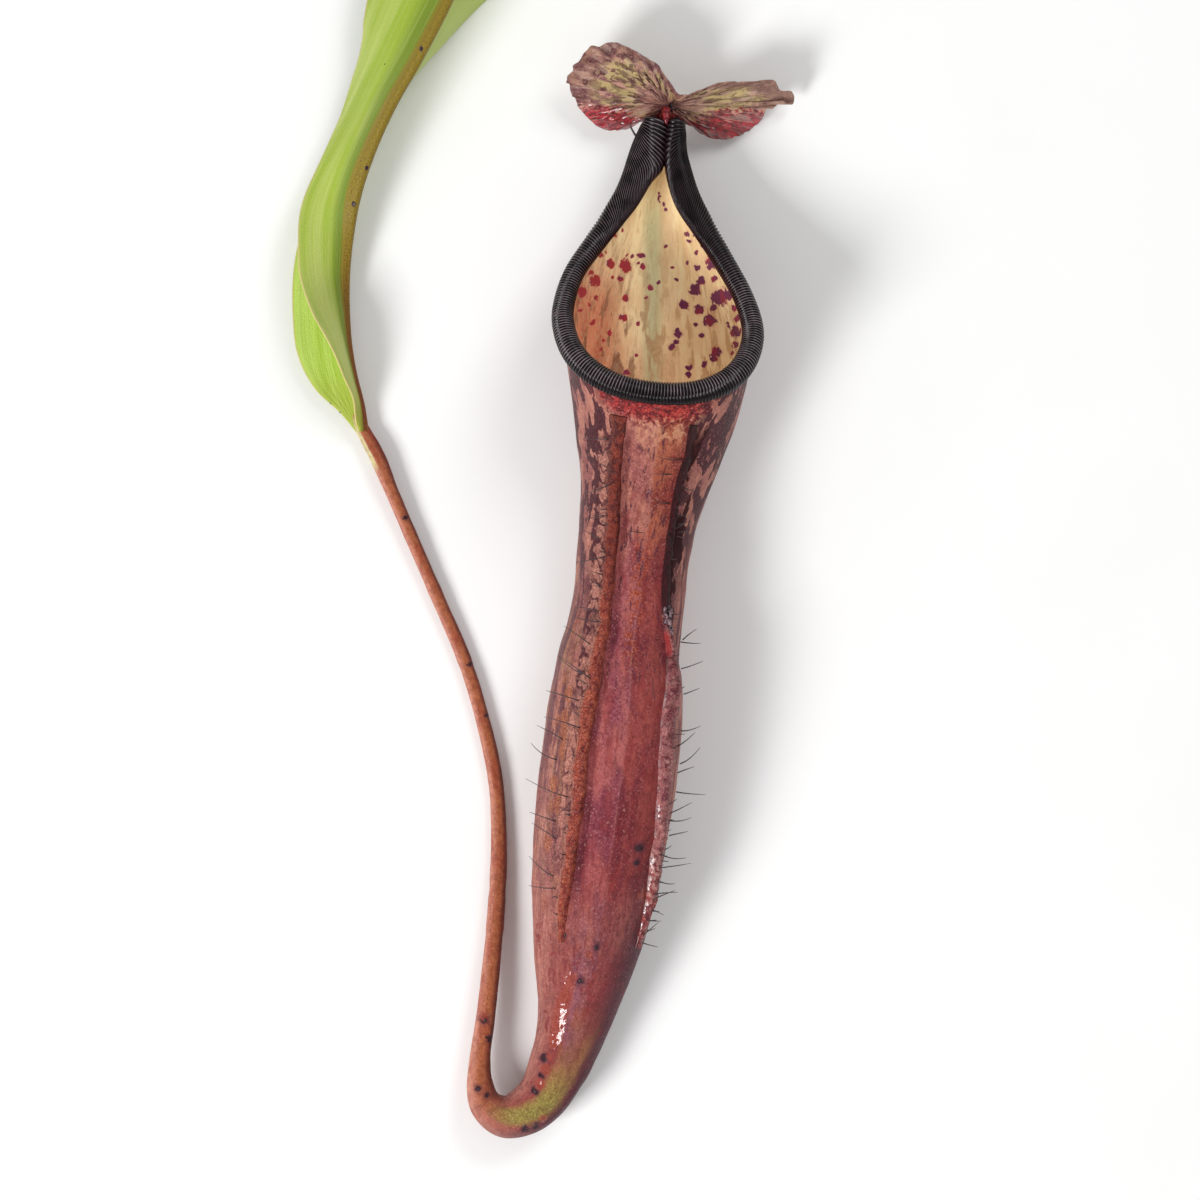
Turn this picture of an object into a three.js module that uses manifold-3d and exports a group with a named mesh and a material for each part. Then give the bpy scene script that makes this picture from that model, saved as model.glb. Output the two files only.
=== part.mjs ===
// A pitcher-plant leaf as picked, laid on its back: the folded green blade, the tendril that runs on
// from the blade's tip, and the hollow pitcher that the tendril turns up into, with its ribbed lip
// (the peristome), its two front wings with fringe hairs, and its lid.
// Millimetres. +Z is up from the table, +Y runs from the pitcher's foot towards the leaf's base, and
// the pitcher's open front faces +Z.
import * as THREE from 'three';
import Module from 'manifold-3d';

// ---- Driving dimensions ----
const CENTRE_OF_BOX = { x: -11.516, y: 44.96 };   // the middle of the whole leaf in the rows below
const WALL = 1.0;                      // the pitcher's wall
const BLADE = 0.8;                     // the leaf blade's thickness
const LID = 0.8;                       // the lid's thickness
const LIP_SHEET = 0.7;                 // the rolled lip's thickness
const JOINT_GAP = 0.3;                 // left between two organs that are modelled apart
const TABLE = 0;                       // nothing goes below the table
const ROOM_UNDER_LIP = 0.45;           // between the wall's edge and the inside of the rolled lip
const LIP_RIBS = 60;                   // fewer and larger than the living plant's
const RIB_DEPTH = 0.4;
const LIP_HALF_TURN = 165;             // the lip runs from -165 to +165 degrees round the mouth
const LIP_ROLL = [-52, 212];           // degrees round the rim, from its outer to its inner edge
const TENDRIL_SIDES = 12;

// The stalk from the leaf's tip, down the tendril, round the foot and up the pitcher to just under its
// mouth. Each row: x, y, height of the underside, half width, half depth.
const STALK = [
  [-47.9, 33.8, 1.4, 1.75, 1.50],
  [-45.3, 29.0, 1.2, 1.50, 1.40],
  [-41.9, 21.3, 0.9, 1.37, 1.40],
  [-38.0, 12.2, 0.5, 1.37, 1.35],
  [-32.7, 0.0, 0.1, 1.37, 1.35],
  [-27.5, -12.2, -0.1, 1.42, 1.40],
  [-23.8, -24.3, -0.1, 1.47, 1.45],
  [-21.2, -36.5, 0.0, 1.52, 1.50],
  [-20.5, -48.7, 0.2, 1.62, 1.60],
  [-20.9, -60.8, 0.9, 1.72, 1.70],
  [-21.9, -72.9, 2.0, 1.82, 1.80],
  [-23.2, -84.9, 3.0, 1.97, 1.95],
  [-24.3, -93.4, 3.4, 2.17, 2.20],
  [-24.3, -97.4, 3.3, 2.63, 2.60],
  [-23.2, -101.6, 3.0, 3.33, 3.30],      // the foot, where the pitcher's own tissue starts
  [-19.4, -104.2, 2.6, 4.34, 4.20],
  [-15.3, -103.2, 2.3, 4.84, 4.80],
  [-11.5, -99.9, 1.9, 5.35, 5.40],
  [-8.8, -95.0, 1.5, 6.05, 6.00],
  [-6.7, -89.8, 1.1, 6.56, 6.50],
  [-4.6, -81.7, 0.5, 8.06, 7.90],
  [-3.2, -72.5, 0.1, 10.27, 10.00],
  [-1.9, -63.4, -0.2, 11.87, 11.60],
  [-0.2, -49.2, -0.3, 13.26, 13.00],
  [1.6, -35.1, -0.3, 13.85, 13.60],
  [2.9, -24.1, -0.3, 13.66, 13.40],
  [3.6, -16.1, 0.0, 12.96, 12.70],      // the hip, above which the pitcher narrows
  [3.7, -12.9, 0.2, 12.46, 12.30],
  [4.5, -7.6, 0.6, 11.66, 11.60],
  [5.6, -1.0, 0.9, 11.26, 11.20],
  [6.8, 10.1, 0.9, 11.36, 11.10],
  [8.3, 20.1, 0.4, 12.36, 12.00],
  [9.5, 27.1, 0.0, 13.96, 13.20],
  [10.4, 33.7, -0.3, 15.65, 14.50],      // just under the mouth
];
const FOOT_ROW = 14;
const HOLLOW_ROW = 17;                 // the pitcher is hollow from here up

// The mouth's rim, by angle round the pitcher from its front (0) to its back (180), alike both ways.
// Each row: angle, half width of the mouth, y, z, radius of the rolled lip, tilt of the lip's crest
// from +Y towards +Z. Past 165 degrees the rim is the bare top of the neck.
const RIM = [
  [0, 0.0, 40.7, 33.0, 2.60, 8],
  [25, 8.8, 42.0, 32.2, 2.55, 14],
  [50, 15.6, 46.2, 29.4, 2.50, 28],
  [70, 18.4, 51.3, 25.8, 2.40, 40],
  [90, 18.7, 57.2, 21.6, 2.30, 50],
  [105, 16.7, 63.4, 18.2, 2.20, 58],
  [120, 12.8, 70.0, 15.2, 2.30, 66],
  [135, 8.8, 76.3, 12.6, 2.60, 73],
  [146, 5.4, 82.1, 11.0, 3.00, 80],
  [156, 3.3, 88.6, 10.2, 3.00, 84],
  [165, 2.4, 96.4, 10.0, 1.95, 84],
  [172, 2.3, 96.6, 7.4, 1.80, 45],
  [180, 0.0, 96.6, 4.8, 1.60, 0],
];
// The mouth's middle line, y and x of each point, and how far the rim drops per millimetre to the right.
const MOUTH_MIDDLE = [
  [40.5, 11.2],
  [56.8, 11.5],
  [65.1, 11.3],
  [72.2, 11.5],
  [78.4, 11.6],
  [84.6, 11.7],
  [90.6, 11.9],
  [94.8, 12.7],
  [98.8, 13.5],
];
const MOUTH_TILT = 0.09;

// The blade from its tip to its cut base. Each row: x, y, z of the midrib, true width of each half, and
// the directions of the near and the far half round the midrib, in degrees from the leaf's right.
const BLADE_ROWS = [
  [-47.9, 34.2, 2.9, 1.5, 120, 200],
  [-48.8, 39.5, 2.9, 4.6, 92, 186],
  [-50.3, 45.6, 3.1, 8.4, 92, 186],
  [-51.3, 51.6, 3.3, 10.2, 98, 186],
  [-51.7, 57.7, 3.6, 10.5, 115, 188],
  [-51.7, 65.2, 4.6, 10.5, 136, 193],
  [-50.9, 72.7, 6.9, 10.3, 156, 208],
  [-49.1, 81.5, 10.6, 10.8, 200, 232],
  [-46.0, 90.3, 13.8, 12.7, 218, 252],
  [-41.8, 99.2, 16.0, 15.4, 220, 268],
  [-36.6, 108.0, 18.1, 18.0, 212, 280],
  [-30.6, 119.4, 19.4, 20.3, 206, 289],
  [-23.2, 137.0, 18.2, 21.3, 203, 306],
  [-18.1, 153.5, 14.2, 20.2, 202, 320],
  [-14.9, 170.2, 9.8, 15.5, 200, 332],
  [-13.1, 183.8, 6.4, 8.0, 197, 342],
  [-12.3, 192.2, 4.2, 3.4, 195, 345],
  [-11.9, 198.4, 3.4, 2.8, 195, 345],
];
const BLADE_ARCH = 16;                 // degrees that each half bends inwards from midrib to margin
const MIDRIB_RADIUS = 1.15;

// The wings, by distance down the pitcher from just under its mouth: distance, angle of the left wing
// and of the right wing round the pitcher, height of the ridge as a share of its full height.
const WINGS = [
  [1, -22, 30, 0.35],
  [6, -27, 29, 0.8],
  [20, -28, 36, 0.9],
  [34, -27, 40, 0.9],
  [44, -23, 54, 1.0],
  [58, -26, 51, 1.0],
  [80, -23, 58, 1.0],
  [94, -27, 62, 1.0],
  [101, -28, 66, 0.45],
];
const WING_SECTION = [[-1.4, 0], [-1.2, 0.9], [-0.4, 1.5], [0.6, 1.3], [1.5, 0.6], [1.9, 0]];
const FRINGE = { hairs: 26, root: 0.3, tip: 0.14, shortest: 2.6, longest: 5.4, seed: 7 };

// The lid, seen from the pitcher's front: its outline about the point where it joins the neck, x and y
// of each point, anticlockwise from the right-hand tip.
const LID_JOINT = { x: 13.9, y: 99.9, z: 9.0 };
const LID_OUTLINE = [
  [25.0, 2.8], [22.6, 3.8], [20.6, 4.5], [15.2, 4.1], [10.2, 3.7], [7.0, 2.5], [3.6, 1.9], [0.4, 3.4],
  [-1.4, 6.6], [-4.6, 9.0], [-8.8, 11.4], [-12.0, 12.2], [-15.4, 11.6], [-18.2, 9.2], [-20.8, 5.0],
  [-19.4, 2.4], [-17.0, -0.8], [-12.8, -4.2], [-10.0, -4.6], [-7.2, -3.6], [-4.2, -2.4], [0.0, -2.2],
  [3.4, -2.3], [6.0, -4.2], [8.4, -5.5], [11.8, -6.4], [15.2, -4.6], [18.4, -2.6], [20.4, -0.6],
  [23.2, 1.6], [25.2, 1.4],
];

// The spur, a thread behind the neck's top: root, bend and tip.
const SPUR = [[8.6, 92.2, 4.6], [6.9, 94.4, 4.8], [5.6, 97.0, 5.0]];
const SPUR_RADIUS = 0.32;

const COLOURS = {
  blade: [0x9cb84e, 0.45],
  tendril: [0xb0634a, 0.5],
  pitcher: [0x9a4a48, 0.45],
  lip: [0x1c1418, 0.3],
  wing: [0xa8443a, 0.5],
  lid: [0xa06a58, 0.5],
};

// ---- Small helpers ----
const { cos, sin, tan, sqrt, min, max, PI } = Math;
const vec = (x, y, z) => new THREE.Vector3(x, y, z);
const rad = THREE.MathUtils.degToRad;
const lerp = THREE.MathUtils.lerp;
const smoothstep = THREE.MathUtils.smoothstep;
const steps = (n, from = 0, to = 1) => Array.from({ length: n + 1 }, (_, i) => lerp(from, to, i / n));

// A smooth curve through rows of numbers. The first number is the parameter, the rest are the values,
// and the slope at each row is that of the parabola through it and its neighbours.
function smooth(rows) {
  const slope = (i, k) => {
    const a = rows[max(i - 1, 0)];
    const b = rows[i];
    const c = rows[min(i + 1, rows.length - 1)];
    if (a === b) return (c[k] - b[k]) / (c[0] - b[0]);
    if (b === c) return (b[k] - a[k]) / (b[0] - a[0]);
    const before = (b[k] - a[k]) / (b[0] - a[0]);
    const after = (c[k] - b[k]) / (c[0] - b[0]);
    return (before * (c[0] - b[0]) + after * (b[0] - a[0])) / (c[0] - a[0]);
  };
  return (t) => {
    let i = 0;
    while (i < rows.length - 2 && t > rows[i + 1][0]) i += 1;
    const [low, high] = [rows[i], rows[i + 1]];
    const span = high[0] - low[0];
    const u = min(max((t - low[0]) / span, 0), 1);
    return low.slice(1).map((value, j) => {
      const k = j + 1;
      const rise = u * u * (3 - 2 * u);
      return value + (high[k] - value) * rise
        + span * (u * (1 - u) * (1 - u) * slope(i, k) - u * u * (1 - u) * slope(i + 1, k));
    });
  };
}

// Puts the distance from the first row in front of each row, measured through its first `size` numbers.
function measured(rows, size) {
  let run = 0;
  return rows.map((row, i) => {
    if (i > 0) run += sqrt(row.slice(0, size).reduce((sum, v, k) => sum + (v - rows[i - 1][k]) ** 2, 0));
    return [run, ...row];
  });
}

// The axes across a path: ahead, to its right along the table, and away from the table.
function axes(direction) {
  const ahead = direction.clone().normalize();
  const right = vec(ahead.y, -ahead.x, 0).normalize();
  return { ahead, right, up: right.clone().cross(ahead) };
}

// A closed solid through rings of points. Each ring has an even number of points; each end is closed by
// a strip that joins the first half of its ring to the second half. Where `back` holds, a patch is on
// a sheet's second face, and it is split along the same diagonal as the face that it lies behind.
function loft(rings, back = (r, i) => i >= rings[0].length / 2) {
  const count = rings[0].length;
  const half = count / 2;
  const index = [];
  rings.slice(1).forEach((_, r) => {
    for (let i = 0; i < count; i += 1) {
      const [a, b] = [r * count + i, r * count + ((i + 1) % count)];
      if (back(r, i)) index.push(a, b, a + count, b, b + count, a + count);
      else index.push(a, b, b + count, a, b + count, a + count);
    }
  });
  const last = (rings.length - 1) * count;
  for (let i = 0; i < half - 1; i += 1) {
    const [a, b, c, d] = [i, i + 1, count - 2 - i, count - 1 - i];
    index.push(a, c, b, a, d, c);
    index.push(last + a, last + b, last + c, last + a, last + c, last + d);
  }
  const points = rings.flat();
  let volume = 0;
  for (let i = 0; i < index.length; i += 3) {
    volume += points[index[i]].clone().cross(points[index[i + 1]]).dot(points[index[i + 2]]);
  }
  if (volume < 0) index.reverse();
  const geometry = new THREE.BufferGeometry().setFromPoints(points);
  geometry.setIndex(index);
  return geometry;
}

const above = (p, level) => vec(p.x, p.y, max(p.z, level));

// Repeatable draws from 0 to 1.
function draws(seed) {
  let state = seed;
  return () => {
    state = (state * 16807) % 2147483647;
    return state / 2147483647;
  };
}

// ---- The stalk and the pitcher's outside ----
const stalkRows = measured(STALK, 2);
const stalk = smooth(stalkRows);
const FOOT = stalkRows[FOOT_ROW][0];
const HOLLOW = stalkRows[HOLLOW_ROW][0];
const TOP = stalkRows[stalkRows.length - 1][0];
const FOOT_BEND_END = FOOT + 18;

// A point on the stalk, `run` along it, at an angle round it from its upper side towards its right.
function stalkPoint(run, angle, inset = 0) {
  const centre = (t) => {
    const [x, y, underside, , depth] = stalk(t);
    return vec(x, y, underside + depth);
  };
  const [, , , width, depth] = stalk(run);
  const { right, up } = axes(centre(run + 0.2).sub(centre(run - 0.2)));
  return centre(run)
    .addScaledVector(right, (width - inset) * sin(rad(angle)))
    .addScaledVector(up, (depth - inset) * cos(rad(angle)));
}

const rimRows = smooth(RIM);
const mouthMiddle = smooth(MOUTH_MIDDLE);
const MOUTH_STEP = 0.5;

// The rim by angle from -180 to 180: its place, the way along it, out of it and over its crest.
function rim(angle) {
  const place = (a) => {
    const turned = ((a + 540) % 360) - 180;
    const [half, y, z] = rimRows(Math.abs(turned));
    const across = Math.sign(turned) * half;
    return vec(mouthMiddle(y)[0] + across, y - MOUTH_TILT * across, z);
  };
  const [, , , radius, tilt] = rimRows(Math.abs(angle));
  const along = place(angle + MOUTH_STEP).sub(place(angle - MOUTH_STEP)).normalize();
  const crest = vec(0, cos(rad(tilt)), sin(rad(tilt)));
  const out = along.clone().cross(crest).normalize();
  return { at: place(angle), along, out, crest: out.clone().cross(along), radius };
}

// The wall between the ring just under the mouth and the rim: a cubic curve at each angle, which leaves
// the ring the way the pitcher flares and meets the rim along the lip's crest.
function mouthPoint(share, angle, side) {
  const inset = side > 0 ? 0 : WALL;
  const start = stalkPoint(TOP, angle, inset);
  const flare = start.clone().sub(stalkPoint(TOP - 2, angle, inset)).normalize();
  const { at, out, crest, radius } = rim(angle);
  const end = at.clone()
    .addScaledVector(crest, radius - LIP_SHEET - ROOM_UNDER_LIP)
    .addScaledVector(out, (side * WALL) / 2);
  const reach = start.distanceTo(end);
  const leave = start.clone().addScaledVector(flare, 0.38 * reach);
  const arrive = end.clone().addScaledVector(crest, -min(0.3 * reach, 4.5));
  return new THREE.CubicBezierCurve3(start, leave, arrive, end).getPoint(share);
}

const ROUND_MOUTH = [0, 13, 26, 39, 52, 65, 78, 90, 102, 113, 124, 134, 143, 151, 158, 165, 172];
const ROUND = [...ROUND_MOUTH, 180, ...ROUND_MOUTH.slice(1).reverse().map((a) => -a)];

function pitcherCup() {
  const bodyRing = (inset) => (run) => ROUND.map((a) => stalkPoint(run, a, inset));
  const mouthRing = (side) => (share) => ROUND.map((a) => mouthPoint(share, a, side));
  const footBend = steps(9, FOOT + JOINT_GAP / 2, FOOT_BEND_END).slice(0, -1);
  const outside = [...footBend, ...steps(26, FOOT_BEND_END, TOP)].map(bodyRing(0));
  const flare = steps(8).slice(1).map(mouthRing(1));
  const throat = steps(8).reverse().slice(0, -1).map(mouthRing(-1));
  const inside = steps(22, TOP, HOLLOW).map(bodyRing(WALL));
  const skin = [...outside, ...flare].map((ring) => ring.map((p) => above(p, TABLE)));
  const lining = [...throat, ...inside].map((ring) => ring.map((p) => above(p, TABLE + WALL)));
  return loft([...skin, ...lining], (r) => r >= skin.length);
}

function tendril() {
  const angles = steps(TENDRIL_SIDES, 0, 360).slice(0, -1);
  const runs = steps(46, 0, FOOT - JOINT_GAP / 2);
  return loft(runs.map((run) => angles.map((a) => above(stalkPoint(run, a), TABLE))));
}

// ---- The lip: a sheet rolled over the rim, pleated into ribs that run over its crest ----
function lip() {
  const FINE = 660;
  const trace = steps(FINE, -LIP_HALF_TURN, LIP_HALF_TURN);
  const lengths = measured(trace.map((a) => [...rim(a).at.toArray(), a]), 3);
  const angleAt = (length) => {
    const i = max(1, lengths.findIndex((row) => row[0] >= length));
    const [low, high] = [lengths[i - 1], lengths[i]];
    return lerp(low[4], high[4], (length - low[0]) / (high[0] - low[0]));
  };
  const total = lengths[FINE][0];
  const roll = steps(7, ...LIP_ROLL);
  const sections = steps(2 * LIP_RIBS, 0, total - 1e-6).map((length, i) => {
    const { at, out, crest, radius } = rim(angleAt(length));
    const onRoll = (r, a) => at.clone()
      .addScaledVector(out, r * cos(rad(a))).addScaledVector(crest, r * sin(rad(a)));
    const outer = radius - (i % 2 ? RIB_DEPTH : 0);
    return [...roll.map((a) => onRoll(outer, a)),
      ...roll.map((a) => onRoll(radius - LIP_SHEET, a)).reverse()];
  });
  return loft(sections);
}

// ---- The wings with their fringe hairs ----
const wasm = await Module();
wasm.setup();
const toSolid = (geometry) => new wasm.Manifold(new wasm.Mesh({
  numProp: 3,
  vertProperties: new Float32Array(geometry.attributes.position.array),
  triVerts: new Uint32Array(geometry.index.array),
}));
function toGeometry(solid) {
  const { vertProperties, triVerts } = solid.getMesh();
  const geometry = new THREE.BufferGeometry();
  geometry.setAttribute('position', new THREE.BufferAttribute(vertProperties, 3));
  geometry.setIndex(new THREE.BufferAttribute(triVerts, 1));
  return geometry;
}

// A bent spike from a root, first one way and then more the other way.
function hair(root, way, curl, length) {
  const rings = [0, 0.5, 1].map((share) => {
    const middle = root.clone().addScaledVector(way, length * share)
      .addScaledVector(curl, 0.35 * length * share * share);
    const { right, up } = axes(way);
    const radius = lerp(FRINGE.root, FRINGE.tip, share);
    return [0, 90, 180, 270].map((a) => middle.clone()
      .addScaledVector(right, radius * cos(rad(a))).addScaledVector(up, radius * sin(rad(a))));
  });
  return loft(rings);
}

function wing(side) {
  const rows = smooth(WINGS);
  const column = side < 0 ? 0 : 1;
  const from = WINGS[0][0];
  const to = WINGS[WINGS.length - 1][0];
  const place = (down) => {
    const run = TOP - down;
    const angle = rows(down)[column];
    const at = stalkPoint(run, angle);
    const round = stalkPoint(run, angle + 3 * side).sub(stalkPoint(run, angle - 3 * side)).normalize();
    const along = stalkPoint(run + 1, angle).sub(stalkPoint(run - 1, angle)).normalize();
    const out = round.clone().cross(along).multiplyScalar(side).normalize();
    return { at, round, along, out, height: rows(down)[2] };
  };
  const ridge = steps(44, from, to).map((down) => {
    const { at, round, out, height } = place(down);
    return WING_SECTION.map(([across, rise]) => at.clone()
      .addScaledVector(round, across).addScaledVector(out, JOINT_GAP + rise * height));
  });
  const draw = draws(FRINGE.seed + column);
  const hairs = steps(FRINGE.hairs - 1, from + 4, to - 2).map((down) => {
    const { at, round, along, out, height } = place(down + 1.2 * (draw() - 0.5));
    const root = at.clone().addScaledVector(round, 0.7).addScaledVector(out, JOINT_GAP + 0.7 * height);
    const way = round.clone().addScaledVector(along, 0.5 * draw()).addScaledVector(out, 0.5).normalize();
    const curl = along.clone().multiplyScalar(2 * draw() - 0.6);
    return hair(root, way, curl, lerp(FRINGE.shortest, FRINGE.longest, draw()));
  });
  return toGeometry(wasm.Manifold.union([toSolid(loft(ridge)), ...hairs.map(toSolid)]));
}

// ---- The leaf blade: two half blades folded about a raised midrib ----
function blade() {
  const rows = measured(BLADE_ROWS, 3);
  const at = smooth(rows);
  const length = rows[rows.length - 1][0];
  const place = (run) => vec(...at(run).slice(0, 3));
  const columns = [1, 0.9, 0.7, 0.45, 0.2, 0];
  const rings = steps(52, JOINT_GAP, length).map((run) => {
    const [, , , width, near, far] = at(run);
    const { right, up } = axes(place(min(run + 0.5, length)).sub(place(max(run - 0.5, 0))));
    const middle = place(run);
    const toward = (a, r, from = middle) => from.clone()
      .addScaledVector(right, r * cos(rad(a))).addScaledVector(up, r * sin(rad(a)));
    const inner = (near + far) / 2;
    const fold = rad((far - near) / 2);
    const parting = BLADE / 2 / tan(fold) + 0.25;
    // A half blade's points from its margin in, on its outer (outside 1) or inner (outside -1) face.
    const half = (angle, turn, outside) => columns.map((c) => {
      const bent = angle + turn * BLADE_ARCH * c * 0.5;
      const face = angle + turn * BLADE_ARCH * c - turn * 90 * outside;
      return toward(face, BLADE / 2, toward(bent, lerp(parting, width, c)));
    });
    const ridge = [55, 0, -55].map((a) => toward(inner + 180 + a, MIDRIB_RADIUS));
    const crease = [7, 0, -7].map((a) => toward(inner + a, BLADE / 2 / sin(fold) + 0.1));
    return [...half(near, 1, 1), ...ridge, ...half(far, -1, 1).reverse(),
      ...half(far, -1, -1), ...crease, ...half(near, 1, -1).reverse()];
  });
  return loft(rings.map((ring) => ring.map((p) => above(p, TABLE))));
}

// ---- The lid: two lobes that spread left and right of the neck's top ----
function lidHeight(dx, dy) {
  const toRight = smoothstep(dx, -6, 6);
  const slope = lerp(0.62, dy > 0 ? 1.15 : 0.55, toRight);
  return LID_JOINT.z + slope * dy - 0.01 * dx * dx;
}

function lid() {
  const outline = new THREE.CatmullRomCurve3(
    LID_OUTLINE.map(([x, y]) => vec(x, y, 0)), true, 'centripetal');
  const edge = outline.getPoints(56).slice(0, -1);
  const ring = (share, side) => edge.map((p, i) => {
    const [dx, dy] = [p.x * share, p.y * share];
    const wave = 0.5 * sin((i / edge.length) * 2 * PI * 9) * share ** 3;
    const slopeX = (lidHeight(dx + 0.1, dy) - lidHeight(dx - 0.1, dy)) / 0.2;
    const slopeY = (lidHeight(dx, dy + 0.1) - lidHeight(dx, dy - 0.1)) / 0.2;
    const face = vec(-slopeX, -slopeY, 1).normalize();
    return vec(LID_JOINT.x + dx, LID_JOINT.y + dy, lidHeight(dx, dy) + wave)
      .addScaledVector(face, (side * LID) / 2);
  });
  const shares = [0.12, 0.35, 0.6, 0.82, 1];
  const [upper, lower] = [1, -1].map((side) => shares.map((share) => ring(share, side)));
  return loft([...upper, ...lower.reverse()], (r) => r >= upper.length);
}

// ---- The spur ----
function spur() {
  const [root, bend, tip] = SPUR.map(([x, y, z]) => vec(x, y, z));
  const middle = new THREE.QuadraticBezierCurve3(root, bend, tip);
  return loft(steps(6).map((share) => {
    const { right, up } = axes(middle.getTangent(share));
    const radius = SPUR_RADIUS * (1 - 0.6 * share);
    return [0, 60, 120, 180, 240, 300].map((a) => middle.getPoint(share)
      .addScaledVector(right, radius * cos(rad(a))).addScaledVector(up, radius * sin(rad(a))));
  }));
}

// ---- The whole leaf ----
const leaf = new THREE.Group();
leaf.name = 'pitcher_leaf';
leaf.position.set(-CENTRE_OF_BOX.x, -CENTRE_OF_BOX.y, 0);

function add(name, geometry, colour) {
  const [color, roughness] = COLOURS[colour];
  const material = new THREE.MeshStandardMaterial({ color, roughness, metalness: 0 });
  const mesh = new THREE.Mesh(geometry, material);
  mesh.name = name;
  leaf.add(mesh);
}

add('leaf_blade', blade(), 'blade');
add('tendril', tendril(), 'tendril');
add('pitcher_cup', pitcherCup(), 'pitcher');
add('peristome', lip(), 'lip');
add('wing_left', wing(-1), 'wing');
add('wing_right', wing(1), 'wing');
add('lid', lid(), 'lid');
add('spur', spur(), 'lid');

export default leaf;
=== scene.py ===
# %% [markdown]
# # A picked pitcher-plant leaf
# This lesson dresses a plain CAD model of one leaf of a pitcher plant. The leaf lies on its back on a
# pale table and the camera looks straight down on it. It is green and folded where it leaves the plant,
# runs out into a thin brown tendril, and the tendril turns up into a hollow pitcher with a dark ribbed
# lip, two hairy wings and a small lid. Each organ is worked out again here with many more points than
# the CAD model has, and gets the colours and the fine surface of the living one.

# %% Load the CAD model
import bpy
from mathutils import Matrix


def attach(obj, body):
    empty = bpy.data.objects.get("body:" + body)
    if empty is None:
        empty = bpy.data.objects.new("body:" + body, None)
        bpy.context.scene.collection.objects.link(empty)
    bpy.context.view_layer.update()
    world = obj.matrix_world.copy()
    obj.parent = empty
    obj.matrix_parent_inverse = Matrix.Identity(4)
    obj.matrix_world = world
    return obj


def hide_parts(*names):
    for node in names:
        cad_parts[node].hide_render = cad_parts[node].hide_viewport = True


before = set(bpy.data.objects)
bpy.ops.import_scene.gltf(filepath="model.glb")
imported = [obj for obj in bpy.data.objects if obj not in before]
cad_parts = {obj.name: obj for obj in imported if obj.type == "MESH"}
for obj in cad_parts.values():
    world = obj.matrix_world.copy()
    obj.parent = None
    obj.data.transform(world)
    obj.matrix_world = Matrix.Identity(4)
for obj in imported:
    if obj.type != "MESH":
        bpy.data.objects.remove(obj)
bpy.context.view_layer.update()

from types import SimpleNamespace

import bpy
import numpy as np
from mathutils import Vector
from numpy import pi, sin, cos

scene = bpy.context.scene

# %% [markdown]
# ## Measures
# The organs' shapes are given by the rows of numbers that the CAD model is made from, in millimetres.
# They are measured on one drawing of the whole leaf. The drawing's middle is not at its origin, so the
# last step of every piece moves its points by CENTRE and turns millimetres into metres.

# %% The leaf's measures
CENTRE = np.array([-11.516, 44.96, 0.0])
MM = 0.001
# thickness of the pitcher's wall, of the blade, of the lid and of the lip's rolled sheet
WALL, BLADE, LID, LIP_SHEET = 1.0, 0.8, 0.8, 0.7

# x, y, height of the underside, half width, half depth, from the blade's tip to under the mouth
STALK = [
    [-47.9, 33.8, 1.4, 1.75, 1.50], [-45.3, 29.0, 1.2, 1.50, 1.40], [-41.9, 21.3, 0.9, 1.37, 1.40],
    [-38.0, 12.2, 0.5, 1.37, 1.35], [-32.7, 0.0, 0.1, 1.37, 1.35], [-27.5, -12.2, -0.1, 1.42, 1.40],
    [-23.8, -24.3, -0.1, 1.47, 1.45], [-21.2, -36.5, 0.0, 1.52, 1.50], [-20.5, -48.7, 0.2, 1.62, 1.60],
    [-20.9, -60.8, 0.9, 1.72, 1.70], [-21.9, -72.9, 2.0, 1.82, 1.80], [-23.2, -84.9, 3.0, 1.97, 1.95],
    [-24.3, -93.4, 3.4, 2.17, 2.20], [-24.3, -97.4, 3.3, 2.63, 2.60], [-23.2, -101.6, 3.0, 3.33, 3.30],
    [-19.4, -104.2, 2.6, 4.34, 4.20], [-15.3, -103.2, 2.3, 4.84, 4.80], [-11.5, -99.9, 1.9, 5.35, 5.40],
    [-8.8, -95.0, 1.5, 6.05, 6.00], [-6.7, -89.8, 1.1, 6.56, 6.50], [-4.6, -81.7, 0.5, 8.06, 7.90],
    [-3.2, -72.5, 0.1, 10.27, 10.00], [-1.9, -63.4, -0.2, 11.87, 11.60], [-0.2, -49.2, -0.3, 13.26, 13.00],
    [1.6, -35.1, -0.3, 13.85, 13.60], [2.9, -24.1, -0.3, 13.66, 13.40], [3.6, -16.1, 0.0, 12.96, 12.70],
    [3.7, -12.9, 0.2, 12.46, 12.30], [4.5, -7.6, 0.6, 11.66, 11.60], [5.6, -1.0, 0.9, 11.26, 11.20],
    [6.8, 10.1, 0.9, 11.36, 11.10], [8.3, 20.1, 0.4, 12.36, 12.00], [9.5, 27.1, 0.0, 13.96, 13.20],
    [10.4, 33.7, -0.3, 15.65, 14.50]]
FOOT_ROW, HOLLOW_ROW = 14, 17

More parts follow.
